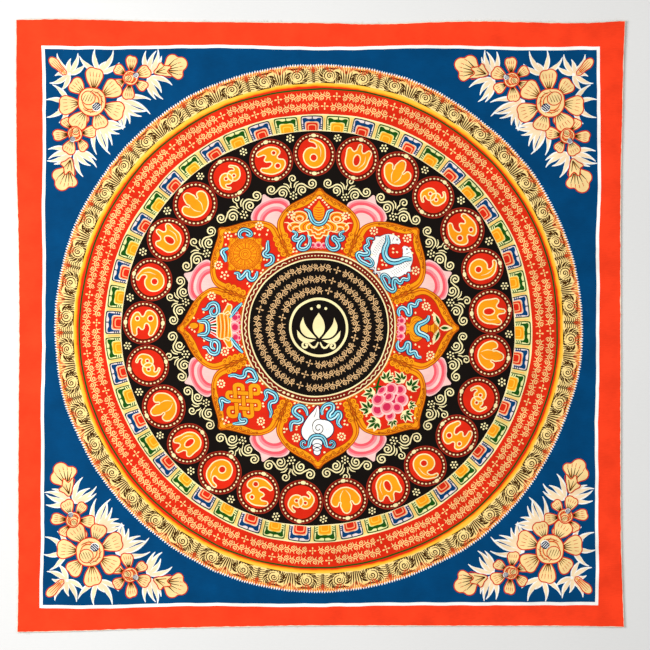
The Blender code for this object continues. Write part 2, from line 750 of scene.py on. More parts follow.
def reshaped(items, carry, lean, size=1, flips=False):
    """The same marks with each point carried to a new place, and each dot leaned to suit. A
    mirror also turns outlines the other way round."""
    result = []
    for item in items:
        if isinstance(item, list):
            outline = [(*carry(point[0], point[1]), *point[2:]) for point in item]
            result.append(outline[::-1] if flips else outline)
        elif isinstance(item[0], list):
            points, steps, closed = item
            result.append(([(*carry(x, y), half * size) for x, y, half in points], steps, closed))
        else:
            x, y, long, wide, turn = item
            result.append((*carry(x, y), long * size, wide * size, lean(x, y, turn)))
    return result


def moved(items, x=0, y=0, turn=0, size=1):
    """The same marks, sized and turned anticlockwise, then carried to (x, y)."""
    cosine = math.cos(math.radians(turn)) * size
    sine = math.sin(math.radians(turn)) * size

    def carry(across, up):
        return x + across * cosine - up * sine, y + across * sine + up * cosine

    return reshaped(items, carry, lambda across, up, old: old + turn, size)


def mirrored(items):
    """The marks with their mirror images across the middle line."""
    return [*items, *reshaped(items, lambda x, y: (-x, y), lambda x, y, turn: -turn, 1, True)]


def bent(items, radius):
    """The same marks with their straight base line bent round an arc of that radius."""

    def carry(x, y):
        return (radius + y) * math.sin(x / radius), (radius + y) * math.cos(x / radius)

    return reshaped(items, carry, lambda x, y, turn: turn - math.degrees(x / radius))


def cluster(x, y, reach, half, count=6):
    """A round of small dots about a middle one."""
    dots = [(x, y, half * 1.05, half * 1.05, 0)]
    for index in range(count):
        angle = math.tau * index / count + 0.3
        dots.append((*rim_point(x, y, reach, angle), half, half, 0))
    return dots


# --- cloth


def cut_sides():
    """The cloth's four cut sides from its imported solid, as (share, x, y) from bottom left on."""
    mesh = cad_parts[CAD_NODE].data
    places = places_of(mesh)
    top = places[:, 2] > places[:, 2].mean()
    rim = np.unique(np.round(places[top][:, :2], 6), axis=0)
    turn = np.arctan2(rim[:, 1], rim[:, 0])
    rim = rim[np.argsort(turn)]
    ways = ((-1, -1), (1, -1), (1, 1), (-1, 1))
    corners = [int(np.argmax(rim @ np.array(way))) for way in ways]
    sides = []
    for index, first in enumerate(corners):
        last = corners[(index + 1) % 4]
        if last <= first:
            last += len(rim)
        side = rim[np.arange(first, last + 1) % len(rim)]
        steps = np.hypot(*np.diff(side, axis=0).T)
        share = np.concatenate(([0], np.cumsum(steps))) / steps.sum()
        sides.append((share, side[:, 0], side[:, 1]))
    return sides


def along_side(side, share):
    return np.interp(share, side[0], side[1]), np.interp(share, side[0], side[2])


def within_sides(u, v, sides):
    """A place in the cloth from its shares across and up, blended from the four cut sides."""
    bottom, right, top, left = sides
    down = along_side(bottom, u)
    up = along_side(top, 1 - u)
    near = along_side(left, 1 - v)
    far = along_side(right, v)
    result = []
    for axis in (0, 1):
        low_left, low_right = bottom[axis + 1][0], bottom[axis + 1][-1]
        high_right, high_left = top[axis + 1][0], top[axis + 1][-1]
        ruled = (1 - v) * down[axis] + v * up[axis] + (1 - u) * near[axis] + u * far[axis]
        twist = (1 - u) * (1 - v) * low_left + u * (1 - v) * low_right
        twist += u * v * high_right + (1 - u) * v * high_left
        result.append(ruled - twist)
    return result


class MANDALA_OT_cloth(bpy.types.Operator):
    """Lay out the cut piece of primed cotton"""

    bl_idname = "mandala.cloth"
    bl_label = "Cotton cloth"

    def execute(self, context):
        sizes = settings().cloth
        sides = cut_sides()
        cloth = ground(
            "cotton_cloth", 106, 106, lambda u, v: within_sides(u, v, sides), sizes.thickness
        )
        settle(cloth, "cotton", 0, drifts=False)
        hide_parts(CAD_NODE)
        return {"FINISHED"}


# White line's outer corners round the blue ground, from bottom left on, anticlockwise
FRAME_CORNERS = (
    (-192.8 * MM, -194.6 * MM),
    (191.8 * MM, -192.6 * MM),
    (192.7 * MM, 192.4 * MM),
    (-191.9 * MM, 193.1 * MM),
)


def on_frame(u, inset):
    """A place on the frame line, a share of the way round, moved inwards by the inset."""
    corners = np.array(FRAME_CORNERS)
    corners = corners - np.sign(corners) * np.asarray(inset).reshape(-1, 1, 1)
    quarter = np.clip(np.floor(u * 4).astype(int), 0, 3)
    share = (u * 4 - quarter).reshape(-1, 1)
    rows = np.arange(len(u)) if len(corners) > 1 else np.zeros(len(u), dtype=int)
    places = corners[rows, quarter] * (1 - share) + corners[rows, (quarter + 1) % 4] * share
    return places[:, 0], places[:, 1]


def on_cut(u, sides):
    """A place on the cut edge, a share of the way round from bottom left."""
    quarter = np.clip(np.floor(u * 4).astype(int), 0, 3)
    share = u * 4 - quarter
    x = np.zeros_like(u)
    y = np.zeros_like(u)
    for index in range(4):
        here = quarter == index
        x[here], y[here] = along_side(sides[index], share[here])
    return x, y


class MANDALA_OT_margin(bpy.types.Operator):
    """Paint the vermilion margin, the blue ground and the white frame line"""

    bl_idname = "mandala.margin"
    bl_label = "Margin, ground and frame line"

    # How many places round the cut edge and the frame line have a stray of their own
    edge_strays = 1200
    line_strays = 400
    # From the middle to the frame line, near enough to inset the ground under it
    frame_half = 0.19

    def execute(self, context):
        sizes = settings().cloth
        line = settings().mandala.frame_line
        sides = cut_sides()
        rng = np.random.default_rng(11)
        ragged = rng.uniform(0.35, 1.3, self.edge_strays) * sizes.bare_edge
        ragged = (ragged + np.roll(ragged, 1)) / 2

        def margin(u, v):
            outer_x, outer_y = on_cut(u, sides)
            inner_x, inner_y = on_frame(u, np.full(len(u), line * 0.5))
            reach = np.hypot(inner_x - outer_x, inner_y - outer_y)
            bare = np.interp(u, np.linspace(0, 1, self.edge_strays), ragged) / reach
            share = bare + (1 - bare) * (1 - v)
            return outer_x + (inner_x - outer_x) * share, outer_y + (inner_y - outer_y) * share

        film = ground("vermilion_margin", 1440, 5, margin, COAT + SUNK, wraps=True)
        settle(film, "vermilion", 1, drifts=False)

        def blue(u, v):
            low = np.array(FRAME_CORNERS) * (1 - 0.5 * line / self.frame_half)
            bottom = low[0] * (1 - u[:, None]) + low[1] * u[:, None]
            top = low[3] * (1 - u[:, None]) + low[2] * u[:, None]
            places = bottom * (1 - v[:, None]) + top * v[:, None]
            return places[:, 0], places[:, 1]

        settle(ground("blue_ground", 60, 60, blue, COAT + SUNK), "blue", 1)

        wander = rng.uniform(-0.12, 0.12, self.line_strays) * MM

        def frame_line(u, v):
            stray = np.interp(u, np.linspace(0, 1, self.line_strays), wander)
            return on_frame(u, v * line + stray)

        film = ground("frame_line", 320, 1, frame_line, 2 * COAT + SUNK, wraps=True)
        settle(film, "white", 2)
        return {"FINISHED"}


class MANDALA_OT_fibres(bpy.types.Operator):
    """Leave short cotton fibres standing out along the cut edge"""

    bl_idname = "mandala.fibres"
    bl_label = "Edge fibres"

    count = 1100

    def execute(self, context):
        hand = random.Random(71)
        high = settings().cloth.thickness
        roots = on_cut(np.array([hand.random() for _ in range(self.count)]), cut_sides())
        curve = bpy.data.curves.new("edge_fibres", "CURVE")
        curve.dimensions = "3D"
        curve.bevel_depth = 0.04 * MM
        curve.bevel_resolution = 0
        curve.use_fill_caps = True
        for x, y in zip(*roots):
            outward = (math.copysign(1, x), 0) if abs(x) > abs(y) else (0, math.copysign(1, y))
            reach = (0.35 + 1.5 * hand.random() ** 3) * MM
            lean, low = hand.uniform(-0.7, 0.7), hand.uniform(0.2, 0.8)
            spline = curve.splines.new("BEZIER")
            spline.bezier_points.add(2)
            spline.resolution_u = 2
            for knot, share in zip(spline.bezier_points, (-0.4, 0.5, 1)):
                out, aside = reach * share, reach * lean * share * abs(share)
                knot.co = (
                    x + outward[0] * out - outward[1] * aside,
                    y + outward[1] * out + outward[0] * aside,
                    -high * (low + 0.15 * share),
                )
                knot.handle_left_type = knot.handle_right_type = "AUTO"
        fibres = placed_object("edge_fibres", curve)
        only(fibres)
        bpy.ops.object.convert(target="MESH")
        fibres.data.name = "edge_fibres"
        settle(fibres, "cotton", 0, drifts=False)
        return {"FINISHED"}


# --- rings


def radius_material(name, stops, low, high):
    """Paint whose colour changes with its distance from the mandala's middle. A stop is
    (share of the way from low to high, colour)."""
    sizes = settings().mandala
    material, tree, shader = blank_material(name, ROUGHNESS)
    place = tree.nodes.new("ShaderNodeTexCoord").outputs["Object"]
    flat = tree.nodes.new("ShaderNodeVectorMath")
    flat.operation = "MULTIPLY_ADD"
    tree.links.new(place, flat.inputs[0])
    flat.inputs[1].default_value = (1, 1, 0)
    flat.inputs[2].default_value = (-sizes.centre_x, -sizes.centre_y, 0)
    reach = tree.nodes.new("ShaderNodeVectorMath")
    reach.operation = "LENGTH"
    tree.links.new(flat.outputs[0], reach.inputs[0])
    pigment = use_group(tree, pigment_group(), Patch=110)
    beyond = math_node(tree, "SUBTRACT", reach.outputs["Value"], low)
    share = math_node(tree, "DIVIDE", beyond, high - low)
    uneven = math_node(tree, "MULTIPLY_ADD", pigment.outputs["Density"], 0.16)
    tree.links.new(share, uneven.node.inputs[2])
    ramp = tree.nodes.new("ShaderNodeValToRGB")
    ramp.color_ramp.elements.remove(ramp.color_ramp.elements[1])
    for index, (at, rgb) in enumerate(stops):
        stop = ramp.color_ramp.elements.new(at) if index else ramp.color_ramp.elements[0]
        stop.position = at
        stop.color = (*rgb, 1)
    tree.links.new(uneven, ramp.inputs["Fac"])
    tree.links.new(ramp.outputs["Color"], shader.inputs["Base Color"])
    add_surface(tree, shader, pigment.outputs["Grain"], 0.8)
    return material


class MANDALA_OT_rings(bpy.types.Operator):
    """Paint the grounds of the mandala's rings and the fine lines between them"""

    bl_idname = "mandala.rings"
    bl_label = "Ring grounds and lines"

    def execute(self, context):
        sizes = settings().mandala
        paints = settings().paints
        gold, apricot = tuple(paints.gold), tuple(paints.apricot)
        stops = ((0, tuple(paints.amber)), (0.1, gold), (0.8, gold), (1, apricot))
        low, high = sizes.rainbow, sizes.scrolls
        ring = annulus("scroll_ground", low - MM, high, 4, 2 * COAT + SUNK)
        settle(ring, "gold", 2, radius_material("scroll_gold", stops, low, high))
        low, high = sizes.red_band, sizes.rainbow
        scarlet, orange, amber = tuple(paints.scarlet), tuple(paints.orange), tuple(paints.amber)
        stops = ((0.1, scarlet), (0.34, scarlet), (0.56, orange), (0.86, amber))
        ring = annulus("shaded_band", low, high, 3, 3 * COAT + SUNK)
        settle(ring, "orange", 3, radius_material("shaded_band", stops, low, high))
        grounds = (
            # name, paint, inner radius, outer radius, rows, coat
            ("red_band", "scarlet", sizes.blocks - MM, sizes.red_band, 3, 2),
            ("block_ground", "straw", sizes.night, sizes.blocks, 2, 3),
            ("night_ground", "black", sizes.bead_band - 2 * MM, sizes.night, 12, 2),
            ("bead_ground", "maroon", sizes.dark_field, sizes.bead_band, 2, 12),
            ("dark_ground", "black", sizes.heart_ring - MM, sizes.dark_field, 5, 12),
            ("heart_ground", "black", 0.4 * MM, sizes.heart, 4, 12),
        )
        for name, paint_name, inner, outer, rows, coat in grounds:
            settle(annulus(name, inner, outer, rows, coat * COAT + SUNK), paint_name, coat)
        heart_line = (sizes.heart + sizes.heart_ring) / 2
        lines = (
            # name, paint, middle radius, width, coat
            ("green_line", "moss", sizes.red_band, 1.1 * MM, 4),
            ("outer_block_line", "cream", sizes.blocks, 0.9 * MM, 4),
            ("inner_block_line", "cream", sizes.night + 0.2 * MM, 0.7 * MM, 4),
            ("outer_bead_line", "cream", sizes.bead_band, 0.9 * MM, 13),
            ("inner_bead_line", "cream", sizes.dark_field, 0.9 * MM, 13),
            ("heart_ring", "cream", heart_line, sizes.heart_ring - sizes.heart, 13),
        )
        for name, paint_name, radius, width, coat in lines:
            ring = annulus(name, radius - width / 2, radius + width / 2, 1, coat * COAT + SUNK)
            settle(ring, paint_name, coat)
        return {"FINISHED"}


class MANDALA_OT_scrolls(bpy.types.Operator):
    """Draw the curls, fans and hatching of the golden ring, and the teeth on its rim"""

    bl_idname = "mandala.scrolls"
    bl_label = "Golden scrolls"

    units = 24
    first = 6.3
    teeth = 640

    def dark_strokes(self, half_unit):
        """One unit's dark strokes, from the ring's inner edge outwards."""
        strokes = []
        for ray in range(-3, 4):
            foot = (1.1 * ray, 0.4 + 0.2 * abs(ray))
            tip = (1.95 * ray, 9.8 - 0.2 * ray * ray)
            bend = (foot[0] * 0.7 + tip[0] * 0.4, (foot[1] + tip[1]) / 2)
            strokes.append(line([foot, bend, tip], 0.52, 2, (0.8, 0.5)))
        x, y = 11.2, 5.2
        side = [spiral(x, y, 2.3, 1.5, 205, 0.42, hand=-1, core=0.1)]
        arc = [math.radians(a) for a in (-96, -50, -4, 42, 88, 134, 180, 222)]
        loop = [(x + 3.5 * math.cos(a), y + 3.3 * math.sin(a)) for a in arc]
        side.append(line(loop, 0.44, 3, (0.4, 0.4)))
        for step in range(28):
            angle = math.radians(-90 + 360 * step / 28)
            near = 4.3 + 0.4 * (step % 2)
            far = 8 if step % 3 else 7.2
            knots = ((near, 0), ((near + far) / 2, 0.16), (far, 0.42))
            points = [rim_point(x, y, reach, angle + twist) for reach, twist in knots]
            kept = [(across, min(max(up, 0.2), 10.4)) for across, up in points]
            if kept[0][1] < kept[2][1] - 0.4 or 0.2 < kept[0][1] < 8:
                side.append(line(kept, 0.46, 2, (1, 0.6)))
        for row in range(7):
            foot = 0.4 + 1.36 * row
            points = [(18.4, foot + 0.9), (20.6, foot + 1.5), (half_unit - 0.1, foot + 0.2)]
            side.append(line(points, 0.34, 2, (0.6, 1)))
        return strokes + mirrored(side)

    def red_strokes(self):
        """The flames that carry the leaves on to the ring's outer edge."""
        side = []
        for step in range(19):
            at = 0.5 + 1.2 * step
            lean = 1.3 * math.sin(at * 0.72)
            low = 8.6 - 1.6 * math.cos(at * 0.57)
            side.append(line([(at, low), (at + lean * 0.3, low + 1.6), (at + lean, 12.6)], 0.38, 2))
        return mirrored(side)

    def execute(self, context):
        sizes = settings().mandala
        base = sizes.rainbow / MM
        half_unit = math.pi * (base + 7) / self.units
        places = around(self.units, first=self.first)
        rows = (
            ("scroll_strokes", "bistre", (3, bent(self.dark_strokes(half_unit), base))),
            ("scroll_flames", "flame", (4, bent(self.red_strokes(), base))),
        )
        paint_all(rows, places)
        tooth = [(0, 0, 1, 0.44, 78)]
        places = around(self.teeth, radius=sizes.scrolls, shake=0.14 * MM, seed=21)
        paint("rim_teeth", "white", layer(3, tooth), places=places)
        return {"FINISHED"}


def vine(pitch, height, half):
    """One wave of a running vine: its stem, and in each bend a curl and two leaves."""
    rise = 0.15 * height
    stem = [(-0.02 * pitch, 0), (0.25 * pitch, rise), (0.5 * pitch, 0)]
    stem += [(0.75 * pitch, -rise), (1.02 * pitch, 0)]
    marks = [line(stem, half, 3, (0.9, 0.9))]
    for side, at in ((-1, 0.25 * pitch), (1, 0.75 * pitch)):
        curl = (at, side * 0.22 * height)
        marks.append(spiral(*curl, 0.26 * height, 1.3, 100 * side, half, side, 0.2, 7, 3))
        for shift, lean, long in ((-0.05, -0.9, 0.44), (0.12, 0.7, 0.48)):
            foot = (at + shift * pitch, -side * 0.13 * height)
            tip = (foot[0] + lean, -side * long * height)
            marks.append(line([foot, tip], half * 1.15, 1, (0.9, 0.4)))
    return marks


def rosette(height):
    """A small flower that parts two lengths of vine."""
    reach = 0.29 * height
    turns = (0, 1.57, 3.14, 4.71)
    petals = [(*rim_point(0, 0, reach, turn), 0.95, 0.55, math.degrees(turn)) for turn in turns]
    return petals + [(0, 0, 0.5, 0.5, 0)]


class MANDALA_OT_vines(bpy.types.Operator):
    """Run two vines round the red band and three round the dark field"""

    bl_idname = "mandala.vines"
    bl_label = "Running vines"

    def execute(self, context):
        rows = (
            # name, paint, coat, radius, waves, waves to each rosette, height, half-width
            ("inner_band", "wheat", 3, 153.4, 120, 6, 6.2, 0.34),
            ("outer_band", "wheat", 3, 160.4, 125, 5, 6.2, 0.34),
            ("inner_dark", "tan", 13, 25.6, 20, 5, 5.8, 0.35),
            ("middle_dark", "tan", 13, 33.4, 26, 13, 5.8, 0.35),
            ("outer_dark", "tan", 13, 41.6, 32, 8, 5.8, 0.35),
        )
        for seed, (name, paint_name, coat, radius, waves, run, height, half) in enumerate(rows):
            places = around(waves, 3 * seed, shake=0.12 * MM, seed=seed, pivot=radius * MM)
            unit = bent(vine(math.tau * radius / waves, height, half), radius)
            kept = [place for index, place in enumerate(places) if index % run]
            paint(f"{name}_vine", paint_name, layer(coat, unit), places=kept)
            unit = bent(moved(rosette(height), math.pi * radius / waves), radius)
            paint(f"{name}_rosettes", paint_name, layer(coat, unit), places=places[::run])
        return {"FINISHED"}


def arch(half_width, top, foot, corner):
    """A flat-footed arch outline with rounded shoulders."""
    shoulder = (half_width - corner * 0.3, top - corner * 0.3)
    right = [(half_width, foot, 1), (half_width, top - corner), shoulder, (half_width - corner, top)]
    return right + flipped(right)


class MANDALA_OT_blocks(bpy.types.Operator):
    """Paint the ring of arched blocks, green and blue by turns"""

    bl_idname = "mandala.blocks"
    bl_label = "Ring of blocks"

    count = 50
    first = 5.2
    # How far the blocks stand clear of the black ground's rim
    clear = 0.35

    def roof(self, foot):
        """A thick roof with flared eaves, whose ends come down to its foot."""
        half = [(0, 8.4), (2.5, 8.1), (4.3, 9), (6.2, 8.6), (6.1, 6.8), (5.8, foot, 1)]
        return whole(half + [(4.9, foot + 0.2, 1), (4.6, 5.6), (3.2, 6.3), (0, 6.1)])

    def execute(self, context):
        pivot = settings().mandala.night
        base = pivot / MM + self.clear
        kinds = (
            # name, bracket, band, roof, arch, arch's edge, arch's half-width, roof's foot
            ("green", "moss", "mint", "leaf", "orange", "amber", 4.3, 3.6),
            ("blue", "ink", "shell", "deep_blue", "red", "peach", 4.4, 1),
        )
        step = 360 / self.count
        for index, (name, bracket, band, roof, bow, edge, half, foot) in enumerate(kinds):
            first = self.first + step * index
            places = around(self.count // 2, first, shake=0.12 * MM, seed=31 + index, pivot=pivot)
            fence = [line([(0.2, 8.4), (0.2, 10.2)], 0.45, 1, (1, 0.8))]
            for y in (0.9, 2.3, 3.7):
                for side in (1, -1):
                    rail = [(side * (half + 0.5), y), (side * (half + 2.4), y + 0.6)]
                    fence.append(line(rail, 0.4, 1, (0.8, 0.9)))
            parts = (
                ("bracket", bracket, (4, [arch(7.4, 10.5, 0.1, 1.3)])),
                ("band", band, (5, [arch(6.75, 9.7, 0.1, 1.2)])),
                ("lines", bracket, (6, fence)),
                ("roof", roof, (7, [self.roof(foot)], 4)),
                ("edges", edge, (8, [arch(half, 5.9, 0, 1.3)]), (10, [arch(half - 1.5, 4, 0, 0.9)])),
                ("arch", bow, (9, [arch(half - 0.6, 5.2, -0.1, 1.1)]),
                 (11, [arch(half - 2.1, 3.3, -0.1, 0.8)])),
            )
            rows = [
                (f"{name}_block_{part}", paint_name,
                 *((coat, bent(marks, base), *steps) for coat, marks, *steps in coats))
                for part, paint_name, *coats in parts
            ]
            paint_all(rows, places)
        post = [line([(0, 1.2), (0.1, 8.9)], 0.42, 1, (0.6, 1))]
        first = self.first + step / 2
        places = around(self.count, first, shake=0.15 * MM, seed=35, pivot=pivot)
        paint("block_posts", "apricot", layer(4, bent(post, base)), places=places)
        return {"FINISHED"}


# --- black ground


def comma():
    """A fat curled leaf."""
    body = [(-3.6, 9.8, 1), (2.6, 9.4), (6.8, 6), (7.8, 0.4), (6.6, -5), (2.2, -8.8)]
    body += [(-3.8, -8.2), (-7.4, -3.4), (-6.4, 2), (-2.2, 4.4), (1.6, 4.2), (1, 7.4)]
    return [body], [circle(-0.4, -2.4, 2.4, 7)], [line([(2.8, 7), (4.6, 3), (4.4, -2)], 0.3)]


def twins():
    """Two curled leaves that turn about each other."""
    one = moved(comma()[0], 3.4, 1, -20, 0.6)
    holes = [circle(3, -0.4, 1.3, 6), circle(-3, 0.4, 1.3, 6)]
    return one + moved(one, turn=180), holes, []


def flame():
    """Three tongues of flame."""
    body = [(0.8, 10.2, 1), (3.2, 4.4), (8.2, 6.8, 1), (8.2, 0), (6.2, -6.2), (0, -9.2)]
    body += [(-6.6, -6.4), (-8, 0.4), (-7, 6, 1), (-2.8, 4.2)]
    drop = [(0, 2.8, 1), (2.4, -2.2), (0, -5.2), (-2.4, -2.2)]
    return [body], [drop], [line([(5.6, 2.8), (5.4, -2.4), (2.2, -6.4)], 0.3)]


def scroll_leaf():
    """A leaf that winds from one side to the other."""
    body = [(-8.8, 5.4, 1), (-3.4, 8.8), (3.8, 8.6), (7.4, 4.6), (4.4, 1), (8.6, -2)]
    body += [(7, -7), (1.4, -9.4), (-5, -8.2), (-8.8, -4.4, 1), (-3, -4.4), (0, -1.6)]
    body += [(-4.6, 0.6), (-2.8, 4.2)]
    holes = [circle(3, 4.8, 1.5, 6), circle(3.2, -4.6, 1.9, 6)]
    return [body], holes, []


def bud():
    """A lotus bud with its outer petals turned down."""
    right = [(0, 9.8, 1), (3.7, 4.4), (3.6, 1.2), (6.2, 4.2), (9.6, 2.2, 1), (8.2, -4)]
    body = whole(right + [(4.2, -7.6), (0, -8.6)])
    slits = mirrored([line([(3.4, 1), (3.2, -2.8), (0.8, -6.8)], 0.32, 3)])
    return [body], [], slits


class MANDALA_OT_medallions(bpy.types.Operator):
    """Set out the medallions with their beads, their golden ornaments and the dots between"""

    bl_idname = "mandala.medallions"
    bl_label = "Medallions"

    count = 25
    first = -1.7
    beads = 30
    large_beads = (7, 22)  # the top and the bottom one

    def execute(self, context):
        radius = settings().mandala.medallions
        places = around(self.count, self.first, radius, 0.25 * MM, seed=41)
        beads = []
        for index in range(self.beads):
            angle = math.tau * (index + 0.5) / self.beads
            if index not in self.large_beads:
                place = rim_point(0, 0, 13.15, angle)
                beads.append((*place, 0.82, 0.56, math.degrees(angle) + 90))
            else:
                beads.append((0, math.copysign(13.2, self.beads / 2 - index), 1.9, 1.3, 0))
        rows = (
            ("medallion_rims", "maroon", (4, [circle(0, 0, 15.1, 16)], 4)),
            ("medallion_rim_lines", "russet", (5, [border(circle(0, 0, 14.7, 16), 0.24)])),
            ("medallion_shadows", "soot", (5, [circle(0, 0, 11.9, 14)], 4)),
            ("medallion_discs", "red", (6, [circle(0, 0, 11.4, 14)], 4)),
            ("medallion_beads", "cream", (5, beads)),
        )
        paint_all(rows, places)
        for number, make in enumerate((comma, flame, bud, twins, scroll_leaf)):
            shapes, holes, slits = make()
            name = make.__name__
            edges = [border(shape, 0.42, 4) for shape in shapes]
            edges += [border(shape, 0.36, 4) for shape in holes] + slits
            rows = [(f"{name}_ornaments", "orange", (7, shapes, 4))]
            if holes:
                rows.append((f"{name}_hollows", "red", (8, holes, 4)))
            paint_all(rows + [(f"{name}_edges", "cream", (9, edges))], places[number::5])
        places = around(self.count, self.first + 7.2, radius + 12 * MM, 0.3 * MM, seed=42)
        paint("outer_clusters", "cream", layer(4, cluster(0, 0, 2.1, 0.7)), places=places)
        return {"FINISHED"}


class MANDALA_OT_curls(bpy.types.Operator):
    """Paint the cream curls between the medallions and the petals"""

    bl_idname = "mandala.curls"
    bl_label = "Cream curls"

    def execute(self, context):
        half, tips = 0.48, (0.7, 0.5)
        side = [
            spiral(14, 1.4, 3.4, 1.6, -105, half, hand=1, core=0.12),
            line([(13.1, -1.9), (10.6, -0.2), (7.4, 2.2), (3.8, 1.4), (1.9, -2.4)], half, 4, tips),
            spiral(7, -2.3, 3.4, 1.6, 250, half, hand=-1, core=0.12),
            line([(5.4, 4.2), (2.9, 3), (1.5, 0.4)], half * 0.9, 3, (0.4, 0.8)),
        ]
        crown = [
            spiral(1.6, 6.4, 3, 1.4, 235, half * 0.9, hand=-1, core=0.14),
            line([(0, 3.9), (-0.6, 2), (-0.3, 0.2)], half * 0.9, 2, (0.9, 0.4)),
        ]
        places = around(16, 11.25, 97.9 * MM, 0.35 * MM, seed=51)
        marks = mirrored(side) + crown + cluster(0.2, -5, 2.2, 0.66)
        paint("cream_curls", "cream", layer(4, marks, 3), places=places)
        return {"FINISHED"}


# --- petals
# A petal's outline is given as (degrees off its own middle line, radius), in the petal ring.


def swung(points):
    """An outline in millimetres from the mandala's middle, from degrees and radii."""
    turns = [(math.radians(degrees), *rest) for degrees, *rest in points]
    return [(r * math.sin(angle), r * math.cos(angle), *corner) for angle, r, *corner in turns]


class MANDALA_OT_pink_petals(bpy.types.Operator):
    """Paint the pink petals that show between the orange ones, shaded in bands"""

    bl_idname = "mandala.pink_petals"
    bl_label = "Pink petals"

    def band(self, top, half, drop, foot, tip=None):
        """One band's outline: an arc over its top, then two sides that run in to its foot."""
        right = [(0, tip, 1), (half * 0.1, top + 2.6), (half * 0.24, top)] if tip else [(0, top)]
        for degrees in (30, 56, 82):
            angle = math.radians(degrees)
            right.append((half * math.sin(angle), top - drop * (1 - math.cos(angle))))
        right += [(half * 0.84, top - drop * 1.4), (half * 0.5, (top - drop + foot) / 2 - 0.8)]
        return whole(swung(right + [(0, foot, 1)]))

    def execute(self, context):
        bands = (
            # name, paint, coat, top, half, drop, tip
            ("tips", "blush", 4, 94.6, 9.4, 7.6, 99.2),
            ("outer_glow", "pink", 5, 94.2, 8.9, 7.8, None),
            ("outer_shade", "coral", 6, 93, 8.4, 7.6, None),
            ("rims", "blush", 7, 91.2, 7.4, 7.2, None),
            ("inner_glow", "pink", 8, 89.2, 6.6, 6.6, None),
            ("inner_shade", "coral", 9, 87.5, 5.9, 6, None),
            ("cores", "blush", 10, 85.8, 4.9, 5, None),
        )
        places = around(8, 22.5, shake=0.3 * MM, seed=61, pivot=85 * MM)
        for index, (name, paint_name, coat, top, half, drop, tip) in enumerate(bands):
            outline = self.band(top, half, drop, 74 + 0.2 * index, tip)
            paint(f"pink_petal_{name}", paint_name, layer(coat, [outline], 5), places=places)
        edge = [border(self.band(*bands[0][3:6], 74, bands[0][6]), 0.24)]
        paint("pink_petal_lines", "blush", layer(5, edge), places=places)
        return {"FINISHED"}


class MANDALA_OT_orange_petals(bpy.types.Operator):
    """Paint the eight orange petals, their red fields and the engraving round them"""

    bl_idname = "mandala.orange_petals"
    bl_label = "Orange petals"

    outline = [(0, 97, 1), (2.4, 93.9), (5.4, 91.4), (9.8, 88.8), (14.6, 85.6), (18.8, 81.4)]
    outline += [(21.6, 76.8), (22.5, 71), (22.5, 53, 1)]
    field = [(0, 92.4, 1), (1.7, 89.4), (4, 86.8), (7, 84.7), (10.6, 83.3), (14, 81.7)]
    field += [(16.8, 79.1), (18.5, 75.9), (18.9, 72.4), (18.4, 62), (20.6, 53.7, 1)]

    # the middles of the lobes along each side of a field, from its foot up
    lobes = ((19.7, 56.6), (19.4, 60.3), (19.1, 64.1), (19.4, 67.9))

    def ring_outline(self, half):
        """A full outline, its foot bent along the ring of beads."""
        foot = half[-1]
        rounds = [(-foot[0] * share, foot[1]) for share in (-0.5, 0, 0.5)]
        return swung(half + rounds + flipped(half[1:]))

    def engraving(self):
        """Fine lines along the edge, scrolls at the tip and shoulders, and curled leaves."""
        strokes = []
        for degrees, radius, reach, start in (
            (3.6, 90, 1, 200),
            (7, 87.4, 1.3, 195),
            (10.8, 85.6, 1.2, 190),
            (14.8, 83.5, 0.9, 180),
        ):
            x, y = swung([(degrees, radius)])[0]
            strokes.append(spiral(x, y, reach, 1.25, start - degrees, 0.26, 1, 0.2, 7, 3))
            for gap in (0, 0.95):
                near = (x - reach * 0.9, y + 0.2 + gap)
                tail = [near, (near[0] - 1.5, near[1] + 1.5), (near[0] - 3.6, near[1] + 1.9)]
                strokes.append(line(tail, 0.24, 3, (0.8, 0.3)))
        for degrees, foot in self.lobes:
            x, y = swung([(degrees + 0.1, foot)])[0]
            strokes.append(spiral(x, y, 1.2, 1.1, -30, 0.24, 1, 0.25, 7))
            for gap in (0, 1.1):
                near, far = swung([(22.3, foot - 3.4 + gap), (degrees + 1, foot + 1.6 + gap)])
                bend = ((near[0] + far[0]) / 2 + 0.5, (near[1] + far[1]) / 2 + 0.5)
                strokes.append(line([near, bend, far], 0.25, 4))
        return mirrored(strokes)

    def execute(self, context):
        shape = self.ring_outline(self.outline)
        inner = moved([shape], y=75 * 0.055, size=0.945)[0]
        field = self.ring_outline(self.field)
        lobes, rims = [], []
        for degrees, radius in self.lobes:
            x, y = swung([(degrees, radius)])[0]
            lobes.append(circle(x, y, 2, 8))
            arc = [(x - 2 * math.cos(a), y + 2 * math.sin(a)) for a in (-1.1, -0.3, 0.6, 1.4)]
            rims.append(line(arc, 0.26, 3))
        rows = (
            ("orange_petals", "orange", (11, [shape], 6)),
            ("petal_shades", "ochre", (12, [border(inner, 0.45, 5)])),
            ("petal_edges", "umber", (13, [border(shape, 0.28, 5)])),
            ("petal_engraving", "umber", (15, self.engraving())),
            ("petal_fields", "red", (12, [field], 6)),
            ("field_lobes", "orange", (13, mirrored(lobes))),
            ("field_edges", "umber", (13, [border(field, 0.22, 5)]), (14, mirrored(rims))),
        )
        paint_all(rows, around(8))
        return {"FINISHED"}


